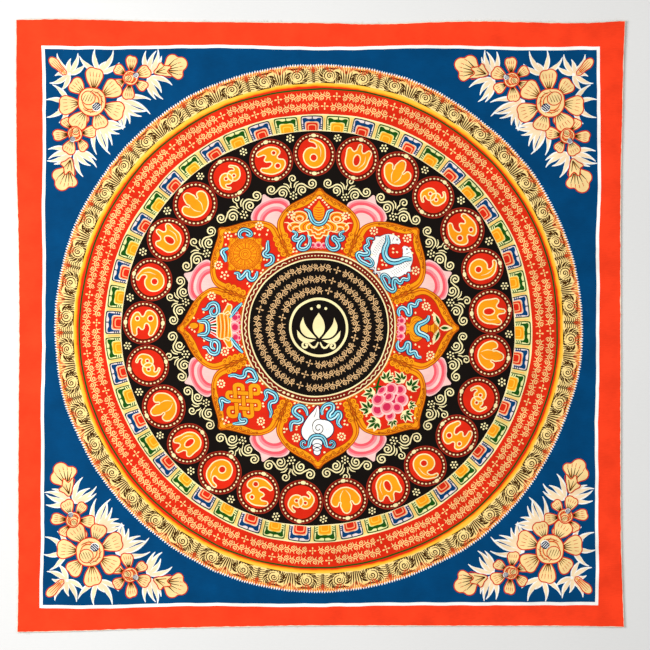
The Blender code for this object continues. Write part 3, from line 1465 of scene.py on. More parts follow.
class MANDALA_OT_bead_band(bpy.types.Operator):
    """Fill the maroon band with beads and a waving line by turns"""

    bl_idname = "mandala.bead_band"
    bl_label = "Band of beads"

    def execute(self, context):
        sizes = settings().mandala
        radius = (sizes.dark_field + sizes.bead_band) / 2 / MM
        strokes, dots = [], []
        # where each run starts and stops, in degrees clockwise from the top
        bead_runs, line_runs = ((-25, 17), (28, 68), (158, 198)), ((70, 156), (210, 334))
        for first, last in bead_runs:
            count = round((last - first) / 2.55)
            for index in range(count):
                turn = first + (last - first) * (index + 0.5) / count
                x, y = swung([(turn, radius)])[0]
                dots.append((x, y, 0.62, 0.44, -turn))
        for turn in (18.8, 22.3, 25.8, 200.2, 204, 207.6):
            x, y = swung([(turn, radius)])[0]
            dots.append((x, y, 1.15, 0.85, -turn))
        for first, last in line_runs:
            count = round((last - first) / 2.6)
            points = []
            for index in range(count + 1):
                sway = 0.55 if index % 2 else -0.55
                turn = first + (last - first) * index / count
                points.append(swung([(turn, radius + sway)])[0])
            strokes.append(line(points, 0.36, 3, (0.8, 0.8)))
        paint("band_beads", "cream", layer(13, strokes + dots), places=[middle()])
        return {"FINISHED"}


class MANDALA_OT_heart(bpy.types.Operator):
    """Paint a lotus with two tendrils in the mandala's middle"""

    bl_idname = "mandala.heart"
    bl_label = "Middle lotus"

    def execute(self, context):
        petal = whole([(0, -4.6, 1), (2.6, -1), (2.5, 3.2), (0, 7.6, 1)])
        leaning = [(1.2, -4.8, 1), (3.6, -2), (6.6, 2.4), (7.4, 5.6, 1), (9, 0.8), (6.6, -3.6)]
        low = [(1.6, -5.6, 1), (6.6, -4.6), (10.6, -0.6, 1), (9.6, -5), (5.4, -7)]
        tendril = [
            spiral(6.6, -8.3, 1.8, 1.2, 150, 0.55, hand=-1, core=0.3),
            line([(0.4, -6.6), (2.4, -9.4), (5, -7.4)], 0.55, 3, (0.6, 0.9)),
        ]
        above = [(0, 10.6, 1, 1, 0), (3.4, 9.6, 0.7, 0.7, 0), (-3.4, 9.6, 0.7, 0.7, 0)]
        marks = [petal] + mirrored([leaning, low] + tendril) + above
        unit = layer(13, moved(marks, y=-0.6, size=1.4), 5)
        paint("heart_lotus", "cream", unit, places=[middle()])
        return {"FINISHED"}


# --- emblems
# An emblem lists (piece, coat, marks) in millimetres from the middle of its petal's field.
# Its ribbons and dots are placed by (degrees off the petal's middle line, radius).

FIELD_MIDDLE = 69


def on_petal(*places):
    """The field's own millimetres, from degrees and radii."""
    return [(x, y - FIELD_MIDDLE) for x, y in swung(places)]


def ribbon(*places, half=1.5, coat=18):
    """A silk ribbon: its dark edge, its blue, the light along it and the fold in its middle."""
    points = on_petal(*places)
    first, second, before, last = points[0], points[1], points[-2], points[-1]
    inner = [tuple((2 * a + b) / 3 for a, b in zip(first, second)), *points[1:-1]]
    inner.append(tuple((2 * a + b) / 3 for a, b in zip(last, before)))
    lit = [(x - 0.42 * half, y + 0.42 * half) for x, y in inner]
    return [
        ("ribbon_edges", coat - 1, [line(points, half + 0.65, 7, (0.5, 0.5))]),
        ("ribbons", coat, [line(points, half, 7, (0.4, 0.4))]),
        ("ribbon_lights", coat + 1, [line(lit, 0.34 * half, 7, (0.3, 0.3))]),
        ("ribbon_folds", coat + 2, [line(inner, 0.36, 7, (0.3, 0.3))]),
    ]


def pair(*places, half=1.5, coat=18):
    """A ribbon and its mirror image."""
    others = flipped(places)[::-1]
    return ribbon(*places, half=half, coat=coat) + ribbon(*others, half=half, coat=coat)


def scarf(*right, half=1.4):
    """A scarf that hangs in a U, given from its lowest point to its right end."""
    return ribbon(*flipped(right[1:]), *right, half=half, coat=22)


def dots(*places):
    return [("emblem_dots", 15, [(x, y, 0.82, 0.68, 20) for x, y in on_petal(*places)])]


def clusters(*places, count=7):
    marks = []
    for x, y in on_petal(*places):
        marks += cluster(x, y, 2.3, 0.76, count)
    return [("emblem_dots", 15, marks)]


def blade(x, y, long, wide, turn, bend=0):
    """A pointed leaf blade with its foot at (x, y), its tip bent aside."""
    shape = [(0, 0, 1), (long * 0.4, wide * 0.5 + bend * 0.2), (long, bend, 1)]
    shape += [(long * 0.4, -wide * 0.5 + bend * 0.2)]
    return moved([shape], x, y, turn)[0]


def rounds(petals, coat):
    """Round petals (x, y, radius, squash), each with a pale rim and a deep heart."""
    result = []
    shares = (("lotus_rims", 1, 0), ("lotus_petals", 0.8, 0.1), ("lotus_hearts", 0.54, 0.16))
    for step, (piece, share, sink) in enumerate(shares):
        marks = [circle(x, y - sink * r, r * share, 8, squash) for x, y, r, squash in petals]
        result.append((piece, coat + step, marks))
    return result


def lotus(radius, width):
    """A lotus seat, its middle petal the largest."""
    spread = ((0.16, -0.19, 0.09, 0.7), (0.37, -0.17, 0.1, 0.7), (0, 0, 0.21, 0.95))
    spread += ((0.35, -0.02, 0.16, 1), (0.52, -0.09, 0.08, 1))
    petals = []
    for across, up, size, squash in spread:
        for side in (-1, 1) if across else (1,):
            place = (side * across * width, radius - FIELD_MIDDLE + up * width)
            petals.append((*place, size * width, squash))
    return rounds(petals, 14)


def ripples(width, high, low, count, sag=0.7):
    """Level strokes across a tier, each sagging a little."""
    marks = []
    for index in range(count):
        y = high + (low - high) * index / max(1, count - 1)
        marks.append(line([(-width, y), (0, y - sag), (width, y)], 0.26, 3, (0.6, 0.6)))
    return marks


def shrunk(outline, x, y, share):
    """An outline drawn in towards a point."""
    return [(x + (px - x) * share, y + (py - y) * share) for px, py in outline]


def parasol():
    clouds = [circle(side * 12.9, 7.6, 5.2, 10, 0.76) for side in (-1, 1)]
    clouds += [circle(side * 14.6, 0.6, 6.4, 10, 0.56) for side in (-1, 1)]
    front = [(0, 4.4), (5, 5.4), (10.4, 4.2), (13.2, 1), (11.4, -2.2), (7.8, -2)]
    front = whole(front + [(6.2, -5.2), (3.4, -5), (2, -6.8), (0, -7)])
    spire = whole([(0, 19.6, 1), (1.6, 16.8), (3.7, 14.6), (4.1, 11), (3.2, 7.4), (0, 3.6)])
    lines, reds = [border(front, 0.4, 5)], []
    for shape in clouds:
        x, y = (sum(part) / len(shape) for part in zip(*shape))
        rings = [border(shrunk(shape, x, y - 2, share), 0.34) for share in (1, 0.72, 0.46, 0.2)]
        lines += rings[::2]
        reds += rings[1::2]
    folds = [border(shrunk(front, 0, 0.2, share), 0.3, 4) for share in (0.8, 0.62, 0.42, 0.24)]
    tips = [line([(18.6, 1.2), (20.4, 3.4), (23.4, 3.6)], 0.5, 3, (0.9, 0.3))]
    beads = [(0.6 + step, 90.2 - 1.5 * step) for step in range(5)]
    return [
        ("gilded_parts", 13, clouds + [[(-1.2, -6), (1.2, -6), (1.2, -9.4, 1), (-1.2, -9.4, 1)]]),
        ("gilded_lines", 15, lines[1:] + mirrored(tips)),
        ("red_lines", 15, reds),
        ("gilded_parts", 16, [spire]),
        ("red_lines", 18, ripples(3.2, 15, 6.4, 6, 0.8) + [border(spire, 0.24)]),
        ("gilded_parts", 17, [front]),
        ("gilded_lines", 19, lines[:1] + folds[1::2]),
        ("red_lines", 19, folds[::2]),
        *scarf((0, 71.9), (2.6, 73.4), (4.1, 77.2), (4.8, 80.8), (6.9, 82.9)),
        *lotus(57.6, 11),
        *pair((15, 69.6), (13.1, 66.4), (15.4, 64.2), (12.6, 62.4), (9.6, 63.6), (12.4, 60.4),
              (13.8, 57.4), (11, 55.4), (7.4, 56.4), (5.7, 60.2), (6.5, 64.8), half=1.35),
        *dots((0, 90.8), *beads, *[(-degrees, radius) for degrees, radius in beads],
              (-17, 57.6), (-18.2, 55.4), (-16, 55), (15.9, 65.6), (-8.8, 58.2), (16.6, 57)),
        *clusters((-13.4, 80), (13.6, 80.2)),
    ]


def fish():
    marks = []
    for hand in (1, -1):
        spine = [(1.6, 11.8, 0.9), (4.6, 11.6, 2.6), (8.6, 8.8, 3.6), (10.8, 4, 4)]
        spine += [(10.8, -1, 3.9), (8.8, -5.4, 3.2), (5.4, -9.2, 2.3), (2.4, -12.4, 1.2)]
        spine = [(hand * x, y, half) for x, y, half in spine]
        edge = [(x, y, half + 0.32) for x, y, half in spine]
        tail = [[(3.4, -11.2), (1, -12.2), (-1.2, -15.4, 1), (1.8, -13.8), (4.6, -15.2, 1)]]
        tail[0].append((4.6, -12.2))
        fin = [[(13.6, 5.4), (17, 3.4, 1), (15.4, 1.8), (15.8, -0.4, 1), (13.4, 0)]]
        fin.append([(7.4, 2.2), (4.6, 1.4, 1), (5.6, -1.6, 1), (7.2, -2.6)])
        tail, fin = ([[(hand * p[0], *p[1:]) for p in shape] for shape in s] for s in (tail, fin))
        scales = [border(circle(hand * 4.6, 12.4, 0.5, 6), 0.2)]
        for step in range(10):
            along = 0.9 * step
            x, y = 11 - 0.035 * along * along, 6.6 - 1.6 * along
            for across in (-1.4, 0, 1.4):
                near, far = (hand * (x + across - 0.4), y + 0.3), (hand * (x + across + 0.4), y)
                scales.append(line([near, far], 0.2, 1, (0.8, 0.5)))
        gill = [(hand * 7.4, 12.8), (hand * 6.8, 10.8), (hand * 6, 9)]
        scales += [line(gill, 0.2, 3), line([(hand * 1.6, 11.6), (hand * 3.2, 11.2)], 0.18, 1)]
        for ray in range(3):
            ends = [(hand * 2.8, -12), (hand * (0.2 + 1.6 * ray), -14.2)]
            scales.append(line(ends, 0.16, 1, (1, 0.5)))
        rims = [border(shape, 0.34) for shape in tail + fin]
        marks += [
            ("emblem_outlines", 14, [(edge, 6, False)] + rims),
            ("white_bodies", 15, [(spine, 6, False)] + tail + fin),
            ("white_lines", 17, scales),
        ]
    return marks + [
        *scarf((0, 67), (2.8, 68.2), (4.8, 71.4), (6.1, 76), (8.4, 79.6), half=1.9),
        *pair((13.3, 72.6), (15.9, 70.2), (14.2, 67), (15.1, 64.3), (11.5, 62.2), (13.4, 59.8),
              (17.2, 57.8), (14.8, 55.2), (9.6, 55), (5.2, 57), (8.4, 59.2), (12, 57.4), half=1.35),
        *clusters((-0.4, 87), (14.2, 77.6), (-15.4, 77.4)),
        *dots((-0.6, 90), (-1.7, 75), (0.9, 75.2), (-0.4, 73.2), (-3.4, 67.6), (3.9, 67.2),
              (0.1, 62), (-1.9, 63.8), (1.9, 63.6), (0, 64.6), (-6.3, 82.8), (-3.8, 84),
              (3.8, 84), (6.3, 82.6), (16.8, 62.6), (-16, 61), (-9, 62.4), (0.2, 58)),
    ]


def vase():
    body = [(0, 13.8), (5.8, 13.4), (4.6, 10.6), (2.5, 9), (2.8, 6), (6.8, 2.6), (9.2, -1.8)]
    body = whole(body + [(7.6, -5.6), (3.4, -7), (4.6, -8.6, 1), (0, -8.8)])
    crown, seeds = [blade(0, 14, 9.8, 4.4, 90)], [blade(0, 15, 6.2, 2.2, 90)]
    for side, lean in ((1, -14), (-1, 194)):
        crown.append(blade(side * 0.6, 13.9, 12, 4.6, lean, side * -1.4))
        seeds.append(blade(side * 2.2, 13.9, 7.6, 1.9, lean, side * -0.8))
    ribs = [line([(0.3 * x, -6.4), (x, -1.8), (x * 0.6, 3.2)], 0.22, 3) for x in (-8, -5.6, 5.6, 8)]
    ribs += [line([(x, -6.6), (x * 1.15, -8.4)], 0.3, 1, (0.8, 0.8)) for x in (-3.2, -1.1, 1.1, 3.2)]
    return [
        ("gilded_parts", 14, [body]),
        ("engraved_lines", 16, [border(body, 0.26)] + ribs + ripples(4, 12.6, 10.9, 3, 0.3)),
        ("engraved_lines", 16, ripples(2.4, 8, 6.6, 2, 0.3)),
        ("pale_leaves", 15, crown),
        ("green_leaves", 16, seeds),
        *scarf((0, 67.6), (2.3, 68.8), (3.5, 72), (5, 75.2), (7, 76.2), half=1.75),
        *lotus(57.4, 15.4),
        *pair((15.9, 73.8), (16.1, 71), (13.8, 68.4), (14.9, 64.8), (11.6, 63.9), (9.2, 62.7),
              (12.6, 61), (14.6, 58.2), (12.7, 55.6), (8.8, 55.8)),
        *clusters((-12.2, 75.4), (13.6, 79.6), count=8),
        *dots((-15.6, 75.4), (16.2, 78.2), (-9.6, 67.4), (9.4, 67.8), (10.4, 70.6), (-7, 78.9),
              (5.6, 79.2), (8, 78), (16.6, 68), (16.6, 58.4), (17.2, 54.8), (-16, 59),
              (-17.2, 55.6), (-15.2, 57), (9.2, 77), (-6.6, 60.8), (-9.6, 78)),
    ]


def peony():
    back = [(-5.2, 6.6, 4.7, 0.92), (8, 9, 3.6, 0.84), (-9.4, 1.2, 4, 1), (11.4, 0.6, 4.5, 1.05)]
    near = [(0.8, 8.4, 3.8, 1.05), (5.4, 3.6, 5, 0.9), (-5.4, -3.4, 4.8, 0.9), (6.2, -4.2, 4.9, 0.9)]
    front = [(0, -7, 4.4, 0.56), (-0.4, -0.6, 4.3, 0.7)]
    backs, greens = [], []
    for degrees, radius, turn, long in (
        (0, 81.6, 90, 8.6),
        (-4.2, 81, 126, 6),
        (5.6, 80.4, 38, 6.6),
        (-10.6, 74.4, 176, 9.6),
        (11.6, 76, -8, 9.6),
        (-12.4, 69.4, 262, 9),
        (12.6, 68.8, -84, 9.8),
        (-5.6, 59.6, 206, 9),
        (4.4, 59.4, -32, 8.6),
    ):
        x, y = on_petal((degrees, radius))[0]
        foot = moved([[(long * 0.2, 0)]], x, y, turn)[0][0]
        backs.append(circle(*foot, long * 0.24, 7))
        for lean, share in ((-76, 0.56), (-38, 0.74), (0, 0.92), (38, 0.74), (76, 0.56)):
            backs.append(blade(*foot, long * share, long * 0.42, turn + lean))
            inner = moved([[(long * 0.08, 0)]], *foot, turn + lean)[0][0]
            greens.append(blade(*inner, long * share * 0.78, long * 0.19, turn + lean))
    stems = [line([(4.6, -7.6), (0.4, -11.6), (-5.6, -14.8)], 0.9, 3, (0.7, 0.7))]
    stems.append(line([(-3, -8), (0, -11), (3.6, -13)], 0.8, 3, (0.8, 0.5)))
    return [
        ("pale_leaves", 13, backs),
        ("green_leaves", 15, greens + stems),
        ("lotus_hearts", 15, [circle(0.6, 0.8, 9.6, 10)]),
        *rounds(back, 16),
        *rounds(near, 19),
        *rounds(front, 22),
        *dots((-8, 79.4), (-17.6, 72.6), (16, 79.8), (16.4, 69.6), (15.4, 67.6), (16.4, 54.6),
              (1.4, 84), (-1.8, 90.2), (-9.6, 60.8), (9.6, 60.4), (0.8, 54.8), (-13.4, 59.8)),
    ]


def conch():
    shell = [(-5.4, 8.4), (-9.8, 5.4), (-11.2, 1), (-9.2, -3.2), (-5.4, -5), (-2.2, -5.6)]
    shell += [(-1.6, -9.4), (-0.4, -15.2, 1), (2.8, -11.6), (6.6, -7), (9.6, -2.2), (11.2, 2.6)]
    shell += [(9.8, 7.2), (5.6, 10.2), (0, 10.6)]
    tops = [circle(0.2, 11.2, 3.5, 8, 0.8), circle(0.3, 14, 3.1, 8, 0.8), circle(0.4, 16.8, 2.4, 8)]
    coil = spiral(-0.9, 1, 4.4, 1.5, -20, 0.28, hand=1, core=0.2)
    turn = line([(3.3, -0.4), (2.6, -3), (-0.2, -5.2), (-4.4, -4.8)], 0.28, 4, (0.9, 0.5))
    seam = line([(2.2, -6.8), (1, -10), (0.6, -13.6)], 0.2, 3, (0.8, 0.5))
    ticks = [line([(6.4 + s * 0.6, 1.8 - s), (7.6 + s * 0.4, 2.6 - s)], 0.2, 1) for s in range(4)]
    ticks += [line([(-8.8 + s, 1.6 + s * 0.5), (-8.2 + s, 0.2 + s * 0.5)], 0.2, 1) for s in range(3)]
    return [
        ("white_bodies", 14, [shell]),
        ("emblem_outlines", 15, [border(shell, 0.34, 5)]),
        ("white_bodies", 16, tops),
        ("emblem_outlines", 17, [border(shape, 0.3) for shape in tops]),
        ("white_lines", 16, [coil, turn, seam] + ticks),
        *scarf((0, 75.6), (2.4, 76.4), (3.6, 78.8), (4, 81.6), (4.6, 83.2), half=1.45),
        *pair((4.8, 83), (6.8, 83.2), (7.9, 81), (6.8, 79.4), (5.8, 80.8), half=0.9, coat=22),
        *ribbon((-13.4, 71), (-12, 68.2), (-12.4, 65.6), (-14.2, 63.4), (-13.8, 60.6), (-10.6, 62.6),
                (-7.6, 63.2), (-7.6, 60.4), (-10.4, 57.6), (-10.6, 54.8), (-6.6, 53.9), (-3.3, 56.6),
                (-3.2, 60.6)),
        *ribbon((14.2, 74), (15, 71), (15, 68.2), (10.8, 66.4), (9.7, 64.2), (13.2, 62.2),
                (15.8, 60), (14.8, 56.6), (11, 55.4), (7.8, 57.6), (6.3, 61.2)),
        *clusters((-12.2, 77.2), (10.9, 77.6), count=8),
        *dots((17.6, 75.8), (16.8, 73.4), (18.2, 73.6), (-16.8, 70.2), (-15.4, 69.2), (-16, 67),
              (11.8, 70.2), (10.8, 68.6), (16.2, 64), (-3, 86.4), (3.4, 84.9), (-16.4, 55),
              (-14.2, 57), (-13.8, 54.4), (12, 59), (6, 55.4), (3, 54), (8, 54),
              (16.8, 54.4), (14.2, 53.9), (-6.4, 57), (11.6, 72)),
    ]


def knot():
    # the one cord's corners in the knot's own square, in steps of the weave
    corners = ((1, 2), (2, 2), (2, 1), (-2, 1), (-2, 0), (2, 0), (2, -1), (-2, -1), (-2, -2))
    corners += ((-1, -2), (-1, 2), (0, 2), (0, -2), (1, -2))
    pitch, cut = 5.2, 0.9

    def widened(x, y):
        return 1.2 + 1.1 * x, 2.4 + 0.97 * y

    cord = []
    for index, here in enumerate(corners):
        for other in (corners[index - 1], corners[(index + 1) % len(corners)]):
            shift = [cut * (0 if a == b else math.copysign(1, b - a)) for a, b in zip(here, other)]
            cord.append((here[0] * pitch + shift[0], here[1] * pitch + shift[1]))
    # where one run passes over another, its two edges go on across it
    crossings, holes = [], [(1.5 * pitch, 1.5 * pitch), (-1.5 * pitch, -1.5 * pitch)]
    for x in (-1, 0, 1):
        for y in (-1, 0, 1):
            for side in (-1.42, 1.42):
                ends = [(x * pitch + side, y * pitch - 1.4), (x * pitch + side, y * pitch + 1.4)]
                if (x + y) % 2:
                    ends = [(x * pitch - 1.4, y * pitch + side), (x * pitch + 1.4, y * pitch + side)]
                crossings.append(line(ends, 0.24, 1, (1, 1)))
    for across, up in ((-0.5, 1.5), (1.5, -0.5), (-1.5, 0.5), (0.5, -1.5)):
        holes.append((across * pitch, up * pitch))
    holes += [(x * pitch / 2, y * pitch / 2) for x in (-1, 1) for y in (-1, 1)]
    parts = (
        ("engraved_lines", 14, [border(cord, 1.62, 3)]),
        ("gilded_parts", 15, [border(cord, 1.28, 3)]),
        ("engraved_lines", 17, crossings),
        ("emblem_dots", 15, [(x, y, 0.66, 0.6, 45) for x, y in holes]),
    )
    placed = [
        (name, coat, reshaped(moved(marks, turn=45), widened, lambda x, y, turn: turn))
        for name, coat, marks in parts
    ]
    return placed + [
        *pair((17.2, 69.8), (16.1, 66), (13.6, 63.4), (12.6, 60.6), (14.9, 57.4), (12.8, 54.4),
              (8.9, 54.2), (5.4, 56), (8, 58.8), (8.4, 62.2), half=1.4),
        *ribbon((-2.9, 88.2), (-5.2, 84.8), (-6.9, 81), (-4.6, 82.6), (-2, 79.6), half=1.35),
        *ribbon((4.8, 87.4), (6.8, 84.8), (9, 82.8), (6.8, 80.6), (5.2, 78.6), half=1.35),
        *clusters((-13.6, 75.2), (15.4, 76.8), count=8),
        *clusters((0.4, 89.8), count=4),
        *dots((-10.2, 65.4), (-8.9, 64), (-14, 56), (-15.2, 53.9), (-12.4, 54.2), (0.2, 53.9),
              (3, 53.9), (10.6, 58.2), (17.6, 55.4), (16.6, 53.9), (-3.4, 58.6), (-16.4, 77.8)),
    ]


def banner():
    skirt = whole([(0, 6.2), (4.4, 6, 1), (6, 3), (8.4, 0, 1), (0, -0.4)])
    tiers = whole([(0, 0.4), (7.6, 0.2, 1), (9, -2), (9, -5.2), (10.4, -7.6), (0, -8.8)])
    roll = [[(8.6, -4.2), (12.4, -5.6), (15.2, -7.6), (14.4, -9.7), (11.6, -9.5), (8.6, -8)]]
    stripes = {"green": [], "dark": [], "red": []}
    for index, key in enumerate(("red", "dark", "red", "green", "red", "dark")):
        top = -3.5 + 1.4 * index
        foot = -6.4 + 2.56 * index
        shape = [(top - 0.42, 5.6, 1), (top + 0.42, 5.6, 1)]
        stripes[key].append(shape + [(foot + 0.86, 0.4, 1), (foot - 0.86, 0.4, 1)])
    tip = circle(0.4, 16.4, 2.2, 8, 1.5)
    collar = whole([(0, 12.4), (5.6, 14, 1), (3.4, 10.4), (0, 9.6)])
    parts = (
        ("gilded_parts", 14, [tip, collar]),
        ("engraved_lines", 16, [border(tip, 0.26)]),
        ("white_bodies", 14, [skirt]),
        ("stripes_red", 15, stripes["red"]),
        ("stripes_dark", 15, stripes["dark"]),
        ("green_leaves", 15, stripes["green"]),
        ("gilded_parts", 15, mirrored(roll)),
        ("gilded_lines", 17, [border(shape, 0.34) for shape in mirrored(roll)]),
        ("gilded_parts", 16, [tiers]),
        ("gilded_lines", 18, [border(tiers, 0.36)] + ripples(8.6, -1.6, -6.8, 3, 0.6)),
        ("red_lines", 18, ripples(8.4, -0.4, -5.4, 3, 0.6)),
        ("gilded_lines", 17, [line([(-4.5, 6), (0, 6.4), (4.5, 6)], 0.36, 3, (0.9, 0.9))]),
    )
    return [(name, coat, moved(marks, 1.2, 0)) for name, coat, marks in parts] + [
        *scarf((0.8, 75.8), (3, 77.2), (3.2, 80), (3.4, 83), half=1.35),
        *pair((4.2, 80.2), (5.7, 76), (7.4, 71.6), half=1.1),
        *pair((9.4, 80.6), (9.8, 77.8), (12.8, 75.6), (13.8, 72.4), (11.2, 69.8), (7.8, 70.2),
              (7, 72.6), (9.4, 74.4), (11.6, 72.6), half=1.35),
        *pair((6.4, 60.8), (11.6, 58.2), (18.2, 54.6), half=1.35),
        *lotus(57.8, 19.6),
        *clusters((-14.6, 77.2), (17.2, 76.2), (-14.2, 66.2), count=8),
        *dots((0.4, 88.4), (-0.6, 86.6), (-1.6, 84.8), (4.8, 85.6), (-5.6, 77.4), (-5, 79),
              (-6.2, 78.8), (8, 79.2), (16, 67.8), (16.8, 66.2), (-14.8, 60.4), (-13, 58),
              (-14.2, 53.9), (-12.6, 55.6), (14.6, 56.4), (16.2, 53.9), (15.2, 64), (-11.4, 69.4)),
    ]


def wheel():
    disc = circle(0, 0, 10.8, 14)
    corners, strokes, studs = [], [], []
    for index in range(4):
        turn = 90 * index
        corner = [(7.6, -7), (11.4, -5.4), (12.8, -2.4), (15.4, 0, 1), (12.8, 2.4)]
        corner += [(11.4, 5.4), (7.6, 7)]
        corners += moved([corner], turn=turn)
        for side in (-1, 1):
            curl = [spiral(11.4, side * 3, 1.3, 1.2, 180, 0.24, side, 0.25, 7)]
            curl.append(line([(12.2, 0), (13.2, side * 0.8), (12.6, side * 1.8)], 0.22, 3))
            strokes += moved(curl, turn=turn)
    for reach, half in ((9.9, 0.26), (8.9, 0.22), (7.9, 0.26), (4, 0.28), (2.6, 0.22), (1.4, 0.28)):
        strokes.append(border(circle(0, 0, reach, 14), half))
    for index in range(8):
        turn = math.tau * index / 8
        spoke = [rim_point(0, 0, reach, turn) for reach in (4.2, 7.8)]
        strokes.append(line(spoke, 0.42, 1, (0.7, 1)))
        for lean, reach in ((0.39, 6.6), (0.3, 5.2)):
            near = rim_point(0, 0, reach, turn + lean)
            strokes.append(spiral(*near, 0.95, 1.1, math.degrees(turn), 0.2, 1, 0.3, 6))
    for index in range(32):
        studs.append((*rim_point(0, 0, 9.4, math.tau * index / 32), 0.3, 0.3, 0))
    edges = [border(shape, 0.28) for shape in corners]
    parts = (
        ("gilded_parts", 13, corners),
        ("shaded_lines", 15, edges),
        ("gilded_parts", 16, [disc]),
        ("shaded_lines", 18, [border(disc, 0.36)] + strokes + studs),
    )
    return [(name, coat, moved(marks, 0.4, 2.6, 0)) for name, coat, marks in parts] + [
        *ribbon((-3.4, 82.6), (-6.4, 84), (-7.6, 80.8), (-9.2, 77.8), half=1.5),
        *ribbon((5.2, 80.8), (4.4, 83.2), (6.6, 85.4), (9, 83), (9, 79.4), (7.2, 81.6), half=1.2),
        *ribbon((-11.6, 68.8), (-10.6, 66.2), (-12.4, 63.8), (-9.4, 62.2), (-6.6, 61.6), (-8.8, 58.8),
                (-9, 55.8), (-5.8, 54.8), (-2.2, 56.6), half=1.45),
        *ribbon((15, 69.6), (13.4, 66.8), (12, 64.2), (8.8, 62.8), (9.4, 60.6), (12, 59),
                (11, 55.9), (7.6, 55), (4.2, 56.2), half=1.45),
        *clusters((-12.6, 80.8), (14.8, 81.2), count=8),
        *clusters((0.6, 89), (-15.2, 73.6), count=5),
        *dots((-3, 85.6), (3.6, 85.9), (11, 78.8), (12.6, 76.2), (17.6, 75.8), (16, 73.6),
              (10.2, 66.8), (-8.2, 65.8), (-4.6, 59.2), (8, 58.4), (6.6, 59.8), (-12.8, 57),
              (-13.8, 54.8), (16.4, 56.8), (14.6, 54.4), (-1.2, 54), (1.2, 54.6), (10.2, 53.9)),
    ]


# piece, its paint
EMBLEM_PIECES = {
    "emblem_dots": "cream",
    "ribbon_edges": "navy",
    "ribbons": "sky",
    "ribbon_lights": "foam",
    "red_lines": "red",
    "ribbon_folds": "navy",
    "gilded_parts": "orange",
    "gilded_lines": "cream",
    "engraved_lines": "umber",
    "shaded_lines": "ochre",
    "lotus_petals": "pink",
    "lotus_hearts": "rose",
    "lotus_rims": "blush",
    "white_bodies": "white",
    "white_lines": "soot",
    "emblem_outlines": "navy",
    "pale_leaves": "cream",
    "green_leaves": "leaf",
    "stripes_red": "red",
    "stripes_dark": "soot",
}


class MANDALA_OT_emblems(bpy.types.Operator):
    """Paint the eight traditional emblems, one on each orange petal"""

    bl_idname = "mandala.emblems"
    bl_label = "Eight emblems"

    def execute(self, context):
        gathered = {}
        for index, make in enumerate((parasol, fish, vase, peony, conch, knot, banner, wheel)):
            turn = 45 * index
            x = FIELD_MIDDLE * math.sin(math.radians(turn))
            y = FIELD_MIDDLE * math.cos(math.radians(turn))
            for piece, coat, marks in make():
                coats = gathered.setdefault(piece, {})
                coats.setdefault(coat, []).extend(moved(marks, x, y, -turn))
        rows = [(name, EMBLEM_PIECES[name], *sorted(gathered[name].items())) for name in gathered]
        paint_all(rows, [middle()])
        return {"FINISHED"}


# --- corner sprays
# A spray is drawn from its corner of the frame line: +X along one side, -Y along the other.


def petal(x, y, long, wide, turn):
    """A rounded petal whose foot is at (x, y) and which points along turn, in degrees."""
    shape = [(0, 0, 1), (long * 0.45, wide * 0.4), (long * 0.82, wide * 0.5), (long, 0)]
    shape += [(long * 0.82, -wide * 0.5), (long * 0.45, -wide * 0.4)]
    return moved([shape], x, y, turn)[0]


def tuft(foot, tips):
    """White leaf blades from one foot, each run out into a hooked tip, and the warm stroke
    along each of them."""
    blades, strokes, wide = [], [], 2.2
    for index, tip in enumerate(tips):
        across, up = tip[0] - foot[0], tip[1] - foot[1]
        bow = -1 if index < len(tips) / 2 else 1

        def at(share, side):
            side *= bow
            return foot[0] + across * share - up * side, foot[1] + up * share + across * side

        knots = ((0, 0, 0.3), (0.3, -0.03, 0.88), (0.58, -0.02, 0.84))
        knots += ((0.84, 0.05, 0.36), (1, 0.14, 0.12))
        blades.append(([(*at(share, side), wide * half) for share, side, half in knots], 3, False))
        knots = ((0.1, -0.01, 0.3), (0.44, -0.02, 0.62), (0.86, 0.05, 0.14))
        strokes.append(([(*at(share, side), wide * half) for share, side, half in knots], 3, False))
    return blades, strokes


def flower(x, y, petals, core, reach, wide, start):
    """A flower's blunt petals, their edges, the shade in them and the dark strokes at their
    feet."""
    shapes, lines, shades, veins = [], [], [], []
    for index in range(petals):
        turn = start + 360 * index / petals + 5 * math.sin(3.1 * index)
        angle = math.radians(turn)
        foot = rim_point(x, y, core * 0.9, angle)
        long = (reach - core * 0.9) * (1 + 0.13 * math.sin(2.3 * index))
        side = wide * (0.5 + 0.06 * math.cos(1.9 * index)) * (1 if index % 2 else -1)
        shape = [(0, 0, 1), (0.2 * long, 0.5 * side), (0.52 * long, 0.98 * side)]
        shape += [(0.82 * long, 1.04 * side), (long, 0.46 * side), (0.96 * long, -0.1 * side)]
        shape += [(0.93 * long, -0.66 * side), (0.7 * long, -side), (0.42 * long, -0.8 * side)]
        shape = moved([shape + [(0.16 * long, -0.42 * side)]], *foot, turn)[0]
        shapes.append(shape)
        lines.append(border(shape, 0.36, 4))
        for lean in (-0.66, -0.24, 0.2, 0.62):
            for marks, foot_at, near, tip_at, far, half, tips in (
                (shades, 0.04, 0.2, 0.62, 0.9, 0.76, (1, 0.15)),
                (veins, 0.1, 0.2, 0.46, 0.74, 0.38, (1, 0.3)),
                (lines, 0.6, 0.8, 0.8, 0.96, 0.26, (0.8, 0.4)),
            ):
                ends = [(foot_at * long, near * side * lean), (tip_at * long, far * side * lean)]
                marks += moved([line(ends, half, 1, tips)], *foot, turn)
    return shapes, lines, shades, veins


